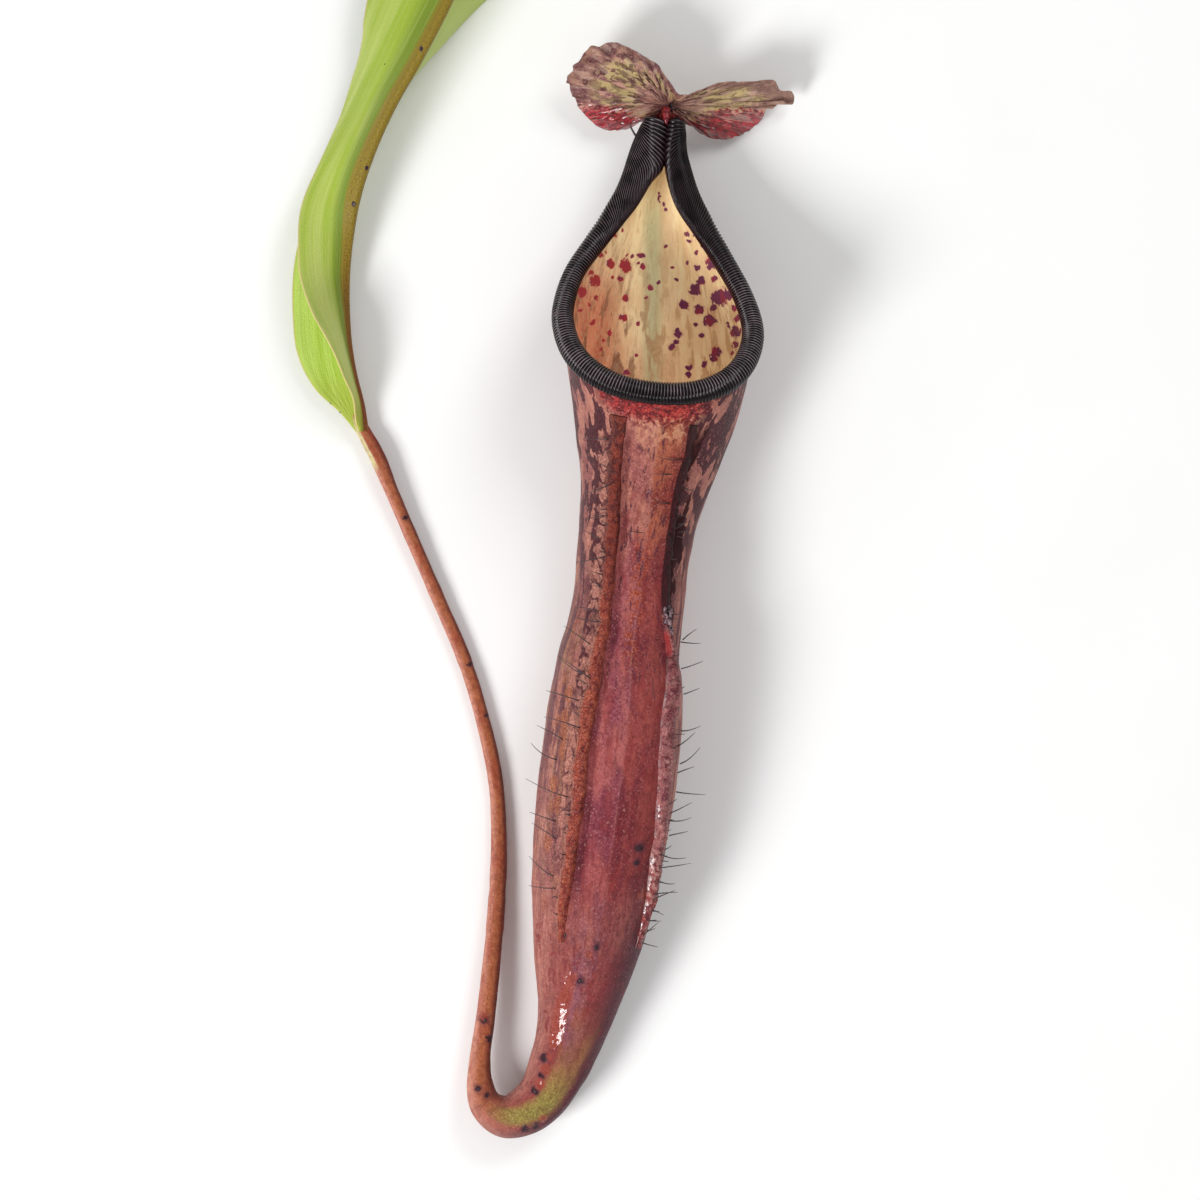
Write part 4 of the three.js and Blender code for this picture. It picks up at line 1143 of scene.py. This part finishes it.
# %% The wings' finish
def wing_inside():
    """Orange-red on the left and pink on the right, paler on the grains and darker between them; then
    red lines between cells, painted shade as a dark band on the upper right wing with its red start, a
    painted highlight along the right wing's inner edge, and the left wing's pale outer edge."""
    flow, way, down, lump = numbers("flow")
    _, side, _, _ = numbers("side")
    on_right, slow, specks = step(side, -0.2, 0.2), drift(flow, 2.2, 3.5), felt(flow, 0.3)
    # painted shade: near the mouth the right wing is painted dark, as it lies in shade there
    tone, shaded_wing_band = step(slow, 0.38, 0.62), both(on_right, step(down, 41, 33))
    orange = over(step(down, 40, 20), over(tone, (182, 84, 62), (132, 44, 40)),
                  over(tone, (136, 54, 42), (84, 26, 26)))
    pink = washes(
        over(tone, (186, 118, 116), (126, 54, 66)),
        (both(streak(flow, 1.0, 2.6, 0.48, 0.05), step(down, 72, 46, 0.15, 0.75)), (92, 44, 54)),
        (step(down, 78, 92, 0, 0.7), over(tone, (168, 60, 58), (120, 34, 42))))
    pale = over(on_right, over(step(down, 44, 24), (206, 112, 82), (160, 74, 54)), (212, 160, 152))
    cell_edge = add("TexVoronoi", {"Vector": flow, "Scale": 1.25, "Randomness": 0.8},
                    feature="DISTANCE_TO_EDGE")
    lines = both(step(cell_edge, 0.12, 0.03), step(way, 1.2, 2.0), step(down, 18, 30), 0.6)
    red_start = both(on_right, step(down, 38.5, 40), step(down, 45, 43), step(way, 1.9, 1.4))
    # painted highlight along the right wing's inner edge
    painted_edge_highlight = both(on_right, step(way, 0.8, 0.3), step(down, 44, 50), step(slow, 0.46, 0.56))
    outer_edge = both(step(side, 0.2, -0.2), step(way, 3.2, 4.0), step(down, 26, 44, 0.2, 1.0))
    colour = washes(
        over(on_right, orange, pink),
        (step(lump, 0.6, 1.4, 0, 0.65), pale),
        (step(lump, 0.4, 0.0, 0, 0.75), (80, 28, 32)),
        (lines, (110, 26, 26)),
        (both(shaded_wing_band, 0.95), over(tone, (28, 6, 12), (62, 20, 26))),
        (red_start, (168, 52, 54)),
        (both(painted_edge_highlight, 0.5), (206, 178, 180)),
        (both(outer_edge, specks, 0.8), (196, 142, 124)))
    colour = shade(both(step(specks, 0.55, 0.0), 0.6), colour, (0.5, 0.4, 0.42))
    light = both(step(specks, 0.66, 0.95), minus(1.0, shaded_wing_band), step(down, 16, 44, 0.14, 0.35))
    wet = both(on_right, step(down, 66, 76), step(slow, 0.46, 0.54), step(specks, 0.3, 0.65, 0.15, 1.0))
    return {"Base Color": over(light, colour, (236, 190, 176)),
            "Roughness": step(specks, 0.1, 0.9, 0.25, 0.5),
            "Coat Weight": wet, "Normal": bump(specks, 0.1)}


wing_finish = finish("grained wing", wing_inside, specular=0.2, coat_roughness=0.08)
ridge_grids = {}
for side, name in ((-1, "left"), (1, "right")):
    ridge_grids[side], ridge_flow = ridge(side)
    mark = np.broadcast_to([float(side), 0, 0], ridge_flow.shape)
    piece(loft("wing_ridge_" + name, ridge_grids[side], flow=ridge_flow, side=mark), wing_finish, "wing",
          "wing_" + name)

# %% [markdown]
# ## The fringe
# The hairs are thin dark spikes. Those that show against the table are placed one by one, from root to
# tip as seen from above, and smaller ones are sown along the ridges. Each hair is a tapering tube along
# a curve with three control points, and all tubes of a side are one mesh.

# %% Hairs that can be told apart: root x, y and tip x, y
HAIRS = {
    1: [[16.2, -8.4, 20.3, -8.7], [16.6, -8, 19.4, -5.8], [16.2, -13.7, 20.6, -12.2],
        [16.7, -18.8, 19.9, -17.6], [16.2, -26.2, 20.2, -25.2], [15.5, -29.2, 19.1, -26.4],
        [16, -32.8, 20.1, -29.5], [15.5, -34.6, 18.9, -33.4], [15.2, -38.4, 21.2, -39],
        [13.8, -42.6, 18.4, -40.4], [13.8, -44, 18.3, -43.4], [13.8, -47, 17.6, -46.2],
        [12.1, -50.7, 17.3, -51.5], [11.6, -53.5, 18.2, -52.6], [11.6, -56, 15, -56.6],
        [10.6, -58.8, 15.5, -58.4], [10.6, -59.8, 15, -58], [10.2, -61.8, 12.8, -63],
        [9.4, -64, 12.3, -64.2], [8.7, -67.1, 11.8, -64.4], [8.4, -68.6, 11.7, -69.6],
        [15.7, 32, 9.6, 32.2], [16.3, 28.1, 11.3, 28.5], [14.3, 25.1, 10.9, 25.1], [13.9, 19.3, 10.5, 20.1],
        [12.2, 13, 5, 13.9]],
    -1: [[-2, -8.8, -7.2, -5.2], [-2, -15.6, -8, -11.2], [-4.2, -20, -10.7, -18], [-4, -25.4, -11.2, -23.2],
         [-7.4, -27.8, -12.6, -25], [-8.3, -31.9, -13.8, -28.5], [-6.4, -39.1, -14.8, -35.5],
         [-8.8, -44.2, -14.1, -42.3], [-8.8, -47.6, -13.6, -44.5], [-9.2, -55.1, -14.2, -51.1],
         [-8.8, -57.3, -14.2, -56.9], [4.4, 37.1, 1.4, 41.3], [4.4, 37.1, 0.8, 37.7], [1.6, 31.9, -2.3, 32],
         [1.4, 26.4, 0, 27.2], [2.8, 23.4, -2.9, 21.2], [0.7, 16.6, -3.6, 16], [0.3, 12.1, -3.4, 14],
         [0.7, 8.6, -4.8, 7.5], [0, 2.8, -2.4, 4.4], [-0.2, -2.2, -4.6, -1.4], [-0.4, -4.4, -4.9, -3.4],
         [-3.4, -14.7, -8.5, -11]]}


def surface_height(x, y, cloud):
    """The height of the highest point of a cloud within 0.8 mm of each x, y, or of the nearest one."""
    flat = cloud.reshape(-1, 3)
    gap = np.hypot(flat[None, :, 0] - x[:, None], flat[None, :, 1] - y[:, None])
    near = np.where(gap < 0.8, flat[None, :, 2], -1e3).max(1)
    return np.where(near > -1, near, flat[np.argmin(gap, 1), 2])


def tubes(name, start, middle, end, thick, thin, sides=6, rings=9):
    """Tubes along start (1-s)^2 + 2 middle s (1-s) + end s^2, whose radius goes from thick to thin."""
    s = np.linspace(0, 1, rings)[None, :, None]
    path = start[:, None] * (1 - s) ** 2 + middle[:, None] * 2 * s * (1 - s) + end[:, None] * s * s
    _, right, up = axes(np.gradient(path, axis=1))
    a = np.arange(sides) * 2 * pi / sides
    radius = (thick * (1 - s) ** 0.7 + thin)[..., None]
    around = right[:, :, None] * cos(a)[:, None] + up[:, :, None] * sin(a)[:, None]
    grid = path[:, :, None] + radius * around
    flow = np.concatenate([np.broadcast_to(s[..., None], grid.shape[:3] + (1,)), grid[..., :2]], -1)
    return loft(name, grid, flow=flow)


# %% The fringe of each side
def hair_inside():
    """Dark wine at the root, grey-brown at the tip, with darker patches."""
    _, share, _, _ = numbers("flow")
    noise = grit(900.0, 2.0)
    colour = over(share, (52, 26, 30), (70, 58, 58))
    return {"Base Color": over(step(noise, 0.4, 0.7, 0, 0.5), colour, (30, 20, 24)),
            "Roughness": step(noise, 0.3, 0.7, 0.35, 0.55)}


SMALL_HAIRS, SAG_RANGES = 34, ((-0.5, 0.5), (-0.9, 0.3), (0.1, 0.6))
hair_finish = finish("dark hair", hair_inside)
for side, name in ((-1, "left"), (1, "right")):
    draw = np.random.default_rng(40 + side)
    rows = np.array(HAIRS[side])
    cloud = np.concatenate([ridge_grids[side].reshape(-1, 3), body.reshape(-1, 3)[::3]])
    root = np.column_stack([rows[:, :2], surface_height(rows[:, 0], rows[:, 1], cloud) - 0.3])
    top_height = np.maximum(surface_height(rows[:, 2], rows[:, 3], cloud) + 0.7, root[:, 2] - 1.5)
    top = np.column_stack([rows[:, 2:], top_height])
    down = draw.uniform(3, 99, SMALL_HAIRS)
    at, around, along, out, height = wing_place(down, side)

    def spread(low, high):
        """A number drawn between low and high for each small hair."""
        return draw.uniform(low, high, (SMALL_HAIRS, 1))
    short = at + around * spread(0.2, 1.2) + out * (0.9 * height)[:, None]
    way = around * spread(0.4, 1) + along * spread(-0.1, 0.7) + out * spread(0.2, 0.7)
    start, end = np.concatenate([root, short]), np.concatenate([top, short + way * spread(0.9, 2.6)])
    sag = np.stack([draw.uniform(low, high, len(start)) for low, high in SAG_RANGES], -1)
    middle = (start + end) / 2 + sag * np.linalg.norm(end - start, axis=1, keepdims=True) * 0.22
    piece(tubes("fringe_" + name, start, middle, end, 0.1, 0.035), hair_finish, "wing")

# %% [markdown]
# ## The lid
# The lid's two lobes spread left and right of the neck's top. The outline is drawn round the point where
# the lid joins the neck; each point inside is a share of the way to it. The sheet curls and ripples more
# towards its edge, and thick veins run out along the lobes.

# %% The lid's sheet
outline_rows = measured(LID_OUTLINE + LID_OUTLINE[:3], 2)
OUTLINE_START, OUTLINE_LENGTH = outline_rows[1, 0], outline_rows[len(LID_OUTLINE), 0]
outline_way = np.linspace(OUTLINE_START, OUTLINE_START + OUTLINE_LENGTH, 481)[:-1]
lid_edge = smooth(outline_rows)(outline_way)
edge_reach = np.hypot(lid_edge[:, 0], lid_edge[:, 1])
crinkle = 0.22 * swell(outline_way, 0 * outline_way, 0.8, 51)
lid_edge = lid_edge * (1 + crinkle * ease(edge_reach, 3, 8) / edge_reach)[:, None]


def lid_height(dx, dy):
    """9 + slope dy - 0.01 dx^2, with the slope eased from the left lobe's to the right lobe's."""
    to_right = ease(dx, -6, 6)
    slope = 0.62 + (np.where(dy > 0, 1.15, 0.55) - 0.62) * to_right
    return LID_JOINT[2] + slope * dy - 0.01 * dx * dx


def lid_sheet(shares, side):
    """joint + outline x share, at the lid's height, with waves that grow with the cube of the share,
    moved half the thickness along the sheet's face to each side."""
    share, dx0, dy0 = shares[:, None], lid_edge[None, :, 0], lid_edge[None, :, 1]
    dx, dy = dx0 * share, dy0 * share
    turn = np.arange(len(lid_edge))[None, :] / len(lid_edge) * 2 * pi
    wave = share ** 3 * (0.5 * sin(9 * turn) + 0.4 * sin(23 * turn + 1)
                         + 0.5 * swell(turn * 18, share * 4, 1.0, 5))
    wave = wave - 1.1 * ease(share, 0.72, 1.0) * ease(dy, -1.0, -4.0)
    vein = 0.2 * swell(turn * 20 + 2 * sin(share * 5), share * 3.5, 1.0, 6) * ease(share, 0.05, 0.3)
    slope_x = (lid_height(dx + 0.1, dy) - lid_height(dx - 0.1, dy)) / 0.2
    slope_y = (lid_height(dx, dy + 0.1) - lid_height(dx, dy - 0.1)) / 0.2
    face = unit(np.stack([-slope_x, -slope_y, np.ones_like(dx)], -1))
    point = np.stack([LID_JOINT[0] + dx, LID_JOINT[1] + dy, lid_height(dx, dy) + wave], -1)
    thick = LID / 2 * (1 - 0.55 * share ** 4)
    flow = np.stack([dx, dy, turn * 20 + 0 * dx], -1)
    place = np.stack([share + 0 * dx, np.hypot(dx, dy), 0 * dx + side], -1)
    return point + face * (side * thick + vein)[..., None], flow, place


shares = np.concatenate([np.linspace(0.02, 0.9, 38), np.linspace(0.92, 1, 7)])
upper, lower = lid_sheet(shares, 1), lid_sheet(shares[::-1], -1)
lid_grid, lid_flow, lid_place = (np.concatenate([a, b]) for a, b in zip(upper, lower))


# %% The lid's finish
def lid_inside():
    """Dusky pink with yellow patches, dark strokes and veins that run out from the joint, a brown upper
    edge, a blotchy red lower part, and a dark red core at the joint."""
    flow, dx, dy, around = numbers("flow")
    _, share, reach, _ = numbers("place")
    ray = add("CombineXYZ", {0: around, 1: dy, 2: reach})
    specks, clumps, frayed = felt(flow, 0.32), drift(flow, 0.9, 0.9), drift(ray, 2.4, 6.0)
    tone = step(drift(flow, 3.0, 3.0), 0.4, 0.6)
    middle = both(step(share, 0.22, 0.4), step(share, 0.86, 0.66))
    strokes = both(streak(ray, 3.0, 2.0, 0.43, 0.03), step(share, 0.4, 0.6), step(share, 1.0, 0.9),
                   step(dx, 6.0, -4.0, 0.3, 0.85))
    upper_edge = both(step(share, 0.72, 0.95), step(dy, 0.0, 2.0))
    heart = both(step(reach, 9.0, 2.0), step(dy, 4.0, 0.0))
    border = plus(dy, plus(sway(frayed, 6.0), sway(clumps, 7.0)))
    low = step(border, step(dx, -4.0, 6.0, 0.9, -0.3), step(dx, -4.0, 6.0, -0.8, -1.8))
    low = both(low, step(share, 0.3, 0.6))
    red = over(specks, over(tone, (160, 22, 42), (104, 12, 28)), over(tone, (236, 50, 72), (198, 28, 50)))
    red = over(step(clumps, 0.47, 0.4), red, (96, 14, 28))
    rays = both(streak(ray, 2.0, 2.8, 0.46, 0.02), step(share, 0.98, 0.8),
                step(sums("ABSOLUTE", dx), 14.0, 4.0, 0.45, 0.9))
    core = both(band(dx, -0.6, 0.7, 1.2), step(dy, 0.5, -1.0))
    colour = washes(
        over(tone, (222, 168, 150), (150, 94, 96)),
        (step(dx, 0.0, 6.0, 0, 0.5), (228, 190, 164)),
        (both(streak(flow, 4.2, 3.0, 0.52, 0.08), middle, 0.8), (224, 202, 134)),
        (strokes, (104, 50, 62)),
        (both(upper_edge, 0.6), over(tone, (150, 104, 88), (112, 70, 72))),
        (both(heart, 0.65), over(specks, (120, 56, 52), (186, 112, 92))),
        (both(low, 0.94), red),
        (both(streak(ray, 2.0, 9.0, 0.42, 0.04), 0.4), (230, 198, 182)),
        (rays, (78, 26, 36)),
        (both(core, 0.85), over(specks, (90, 20, 28), (190, 50, 54))))
    colour = shade(both(step(specks, 0.55, 0.0), 0.5), colour, (0.55, 0.45, 0.48))
    light = both(step(specks, 0.62, 0.95), step(low, 1.0, 0.2), 0.35)
    return {"Base Color": over(light, colour, (232, 198, 176)), "Roughness": step(low, 0, 1, 0.5, 0.2),
            "Coat Weight": both(low, 0.7), "Normal": bump(plus(specks, both(rays, -1.0)), 0.14)}


lid_finish = finish("lid", lid_inside, specular=0.3, coat_roughness=0.12)
piece(loft("lid_lobes", lid_grid, flow=lid_flow, place=lid_place), lid_finish, "lid", "lid")

# %% [markdown]
# ## Keel and spur
# A small red keel fills the top of the gap between the lip's two collars, and a thread, the spur, stands
# behind the neck. Both are tapering tubes like the hairs, so the same function makes them.

# %% The red keel between the collars
keel_path = [np.array([row]) for row in ([13.3, 98.6, 10.2], [13.3, 97.2, 11.9], [13.35, 95.6, 11.6])]
red_keel = gritty("red keel", 1500.0, (84, 16, 26), (150, 40, 48), rough=(0.15, 0.35))
piece(tubes("lid_keel", *keel_path, 0.85, 0.12, 12), red_keel, "lid")

# %% The spur behind the neck, on a curve that passes through its three rows
spur_root, spur_middle, spur_tip = np.array(SPUR)[:, None]
piece(tubes("spur_thread", spur_root, 2 * spur_middle - (spur_root + spur_tip) / 2, spur_tip, 0.2, 0.1),
      hair_finish, "lid", "spur")

# %% [markdown]
# ## The blade
# The blade is folded lengthwise at its tip like a half-open book, its back showing on one side and its
# inner face on the other. Each half is a strip that starts at the midrib, bends inwards and thins out to
# a pale margin. It is worked out as distances from the midrib in a turning direction.

# %% The blade's sheet
blade_rows = measured(BLADE_ROWS, 3)
blade_at = smooth(blade_rows)
BLADE_LENGTH = blade_rows[-1, 0]
blade_run = np.linspace(0, BLADE_LENGTH, 420)
near_share = 1 - np.linspace(0, 1, 27) ** 1.2
blade_values = blade_at(blade_run)
blade_middle, width, near, far = (blade_values[:, None, :3], *(blade_values[:, k:k + 1] for k in (3, 4, 5)))
before, after = np.maximum(blade_run - 0.5, 0), np.minimum(blade_run + 0.5, BLADE_LENGTH)
blade_right, blade_up = (w[:, None] for w in axes((blade_at(after) - blade_at(before))[:, :3])[1:])


def toward(start, angle, distance):
    """start + (right cos(angle) + up sin(angle)) x distance, with angles in degrees."""
    a = np.radians(angle)
    way = blade_right * cos(a)[..., None] + blade_up * sin(a)[..., None]
    return start + way * np.asarray(distance)[..., None]


def half_blade(share, turn, outside):
    """At each share of a half's width: the midrib's place, out in the bent direction by the share, and
    half the thickness along the face. turn is 1 for the near half and -1 for the far one."""
    angle, c = near if turn > 0 else far, share[None, :]
    parting = BLADE / 2 / np.tan(np.radians((far - near) / 2)) + 0.25
    base = toward(blade_middle, angle + turn * BLADE_ARCH * c * 0.5, parting + (width - parting) * c)
    ripple = 0.12 * swell(blade_run[:, None] / 3, c * 3, 2.0, 31 + turn)
    veins = 0.025 * sin(c * 34) * ease(c, 0.05, 0.2) + ripple
    thick = BLADE / 2 * (1 - 0.6 * c ** 5)
    point = toward(base, angle + turn * BLADE_ARCH * c - turn * 90 * outside, thick + veins * outside)
    return point, c * width * turn, c + 0 * width


def rib_points(angles, distance, back):
    """The midrib's rounded back, or the crease on its other side."""
    inner = (near + far) / 2
    return toward(blade_middle, inner + back + np.array(angles)[None, :], distance + 0 * inner)


# %% The blade's rings: over the outside from edge to edge, and back over the inside
BACK_ANGLES, CREASE_ANGLES = [60, 36, 12, -12, -36, -60], [8, 5, 2, -2, -5, -8]
fold = np.radians((far - near) / 2)
parts = [half_blade(near_share, 1, 1),
         (rib_points(BACK_ANGLES, MIDRIB_RADIUS, 180), np.linspace(1.2, -1.2, 6), -1.0),
         half_blade(near_share[::-1], -1, 1), half_blade(near_share, -1, -1),
         (rib_points(CREASE_ANGLES, BLADE / 2 / sin(fold) + 0.1, 0), 0.0, -0.5),
         half_blade(near_share[::-1], 1, -1)]
blade_grid = np.concatenate([p[0] for p in parts], axis=1)
blade_grid[..., 2] = np.maximum(blade_grid[..., 2], 0)
across, half_share = (np.concatenate([np.broadcast_to(p[k], p[0].shape[:2]) for p in parts], axis=1)
                      for k in (1, 2))
face = np.where(np.arange(across.shape[1]) < across.shape[1] // 2, 1, -1) + 0 * across
along = np.broadcast_to(blade_run[:, None], across.shape)
blade_flow, blade_place = np.stack([across, 0 * across, along], -1), np.stack([half_share, face, along], -1)


# %% The blade's finish
def blade_inside():
    """The back: yellow-green, olive towards the midrib. The inner face: fresh green. Painted light brightens
    the far half towards the blade's base. Over both: pale veins, a tan margin, the brown rib and a few
    dots. Its share is below 0 on the midrib."""
    flow, across, _, _ = numbers("flow")
    _, share, face, run = numbers("place")
    slow, specks, vein = drift(flow, 3.4, 50.0), felt(flow, 0.35), streak(flow, 0.4, 50.0, 0.43, 0.06)
    back = washes(
        over(step(slow, 0.36, 0.64), (158, 182, 54), (188, 202, 104)),
        (step(run, 60, 100, 0, 0.5), (146, 172, 34)),
        (step(share, 0.36, 0.1, 0, 0.9), (106, 130, 16)),
        (step(share, 0.07, 0.02), (140, 122, 30)))
    front = over(step(slow, 0.4, 0.6), (178, 206, 74), (196, 220, 102))
    rib = over(step(run, 46, 4), over(specks, (110, 90, 14), (158, 134, 30)),
               over(specks, (100, 50, 22), (158, 90, 42)))
    colour = washes(
        over(step(face, -0.2, 0.2), front, back),
        # painted light: the far half, which faces away and lies in shadow, brightened towards the blade's
        # base
        (both(step(across, -0.5, -1.5), step(run, 60, 80), 0.8), (190, 212, 84)),
        (step(run, 16, 4, 0, 0.6), (178, 184, 62)),
        (both(vein, 0.16), (200, 208, 140)),
        (both(step(share, 0.965, 0.99), 0.7), (214, 190, 130)),
        (step(share, 0.03, -0.3), rib))
    colour = shade(both(step(specks, 0.5, 0.0), 0.3), colour, (0.75, 0.75, 0.6))
    return {"Base Color": over(dotted(flow, 9.0, 0.03), colour, (96, 60, 34)),
            "Roughness": step(specks, 0, 1, 0.34, 0.48),
            "Normal": bump(plus(both(vein, 0.5), specks), 0.05)}


piece(loft("folded_blade", blade_grid, flow=blade_flow, place=blade_place),
      finish("green blade", blade_inside, specular=0.35), "blade", "leaf_blade")

# %% [markdown]
# ## Nectaries
# Small dark glands sit in shallow rings on tendril, foot, pitcher and midrib. Each is a flat dome laid on
# the surface where it is seen from above. A painted dot would do from afar; a dome also catches light.

# %% Glands as domes
def on_surface(x, y, grids):
    """The highest point near each x, y over the grids, with the surface's way out there, found from the
    differences of neighbouring points."""
    points, ways = [], []
    for grid in grids:
        way = unit(np.cross(np.gradient(grid, axis=0), np.gradient(grid, axis=1)))
        way = way * np.sign(way[..., 2:3] + 1e-9)
        points.append(grid.reshape(-1, 3))
        ways.append(way.reshape(-1, 3))
    points, ways = np.concatenate(points), np.concatenate(ways)
    gap = np.hypot(points[None, :, 0] - x[:, None], points[None, :, 1] - y[:, None])
    best = np.argmax(np.where(gap < 0.7, points[None, :, 2] + 10 * ways[None, :, 2] - gap, -1e3), axis=1)
    return points[best], ways[best]


def domes(name, place, way, size, rise):
    """Rings of twelve points: place + way (rise sin(s) - 0.05) + (side cos(a) 0.7 + long sin(a)) size
    cos(s), with s from 0 to 88 degrees."""
    side_way = unit(np.cross(way, np.array([0.0, 1.0, 0.0])))
    long_way = np.cross(way, side_way)
    s = (np.linspace(0, 88, 6) * pi / 180)[None, :, None, None]
    a = (np.arange(12) * 2 * pi / 12)[None, None, :, None]
    place, way, side_way, long_way = (v[:, None, None] for v in (place, way, side_way, long_way))
    size, rise = (np.asarray(v)[:, None, None, None] for v in (size, rise))
    around = side_way * cos(a) * 0.7 + long_way * sin(a)
    grid = place + way * (rise * sin(s) - 0.05) + around * size * cos(s)
    return loft(name, grid, flow=grid)


gland_finish = gritty("dark gland", 2500.0, (30, 15, 26), (62, 32, 42))
place, way = on_surface(GLANDS[:, 0], GLANDS[:, 1], [body, cord, blade_grid])
piece(domes("nectar_glands", place, way, GLANDS[:, 2] * 0.3, 0.12 + 0 * GLANDS[:, 2]), gland_finish,
      "pitcher")

# %% [markdown]
# ## The scar and the lid's crest
# The right wing has torn off near the mouth and left a dry dark scar, and the skin is crumpled where the
# lid joins the neck. Both are a crowd of the same domes, larger and steeper, sown by chance round a
# middle, which gives a knobbly lump without any sculpting.

# %% The scar on the right wing, and its tail of knobs down the wing
KNOBS, TAIL = 34, 8
draw = np.random.default_rng(77)
knob_angle, knob_share = draw.uniform(0, 2 * pi, KNOBS), draw.uniform(0, 1, KNOBS) ** 0.5
knob_x, knob_y = 13.6 + 1.5 * knob_share * cos(knob_angle), -3.1 + 1.6 * knob_share * sin(knob_angle)
knob_x[-TAIL:], knob_y[-TAIL:] = 14.4 + draw.normal(0, 0.25, TAIL), draw.uniform(-6.4, -4.4, TAIL)
place, way = on_surface(knob_x, knob_y, [body, ridge_grids[1]])
dry_scar = gritty("dry scar", 1300.0, (38, 16, 24), (148, 118, 126), 0.4, 0.62, depth=0.2)
piece(domes("wing_scar", place, way, draw.uniform(0.35, 0.65, KNOBS), draw.uniform(0.3, 0.8, KNOBS)),
      dry_scar, "wing")

# %% The crumpled crest where the lid joins the neck
KNOBS = 16
draw = np.random.default_rng(78)
knob_x, knob_y = 14.1 + draw.normal(0, 0.45, KNOBS), 98.9 + draw.normal(0, 1.1, KNOBS)
place, way = on_surface(knob_x, knob_y, [lid_grid[:len(shares)]])
piece(domes("lid_crest", place, way, draw.uniform(0.25, 0.5, KNOBS), draw.uniform(0.2, 0.5, KNOBS)),
      gland_finish, "lid")

# %% [markdown]
# ## Table, light and camera
# A pale table, a bright even sky and two large soft lamps stand in for a studio's light tent. The camera
# looks straight down from 1.2 m with a long lens, so that the leaf lies as flat in the picture as it
# does on the table.

# %% The stage
bpy.ops.mesh.primitive_plane_add(size=4, location=(0, 0, 0))
table = bpy.context.object
table.name = "table_top"


def table_inside():
    """Two whites, blended by a noise too slow to be seen as a pattern."""
    noise = grit(30.0)
    return {"Base Color": over(noise, (246, 246, 245), (250, 250, 250)),
            "Roughness": step(noise, 0.3, 0.7, 0.8, 0.9)}


table.data.materials.append(finish("pale table", table_inside, specular=0.1))

world = bpy.data.worlds.new("light tent")
scene.world = world
world.use_nodes = True
world.node_tree.nodes["Background"].inputs["Color"].default_value = (1.0, 1.0, 1.0, 1.0)
world.node_tree.nodes["Background"].inputs["Strength"].default_value = 0.42


def lamp(name, place, size, power):
    """A square area lamp that faces the middle of the leaf."""
    data = bpy.data.lights.new(name, "AREA")
    data.size, data.energy = size, power
    made = bpy.data.objects.new(name, data)
    scene.collection.objects.link(made)
    made.location = place
    made.rotation_mode = "QUATERNION"
    made.rotation_quaternion = (-Vector(place)).to_track_quat("-Z", "Y")


lamp("key", (-0.64, -0.54, 0.68), 0.34, 9)
lamp("fill", (0.5, 0.6, 0.8), 0.5, 4)

# %% The camera
# the picture is 240 mm wide at 18 mm above the table, in the middle of the pitcher's depth
SENSOR, CAMERA_HEIGHT, SHARP_HEIGHT, PICTURE_WIDTH = 36, 1200, 18, 240
camera = bpy.data.objects.new("camera", bpy.data.cameras.new("camera"))
scene.collection.objects.link(camera)
camera.location = (-CENTRE[0] * MM, -CENTRE[1] * MM, CAMERA_HEIGHT * MM)
camera.data.sensor_width = SENSOR
camera.data.lens = SENSOR * (CAMERA_HEIGHT - SHARP_HEIGHT) / PICTURE_WIDTH
camera.data.clip_start, camera.data.clip_end = 0.01, 10
scene.camera = camera
scene.view_settings.view_transform = "Standard"
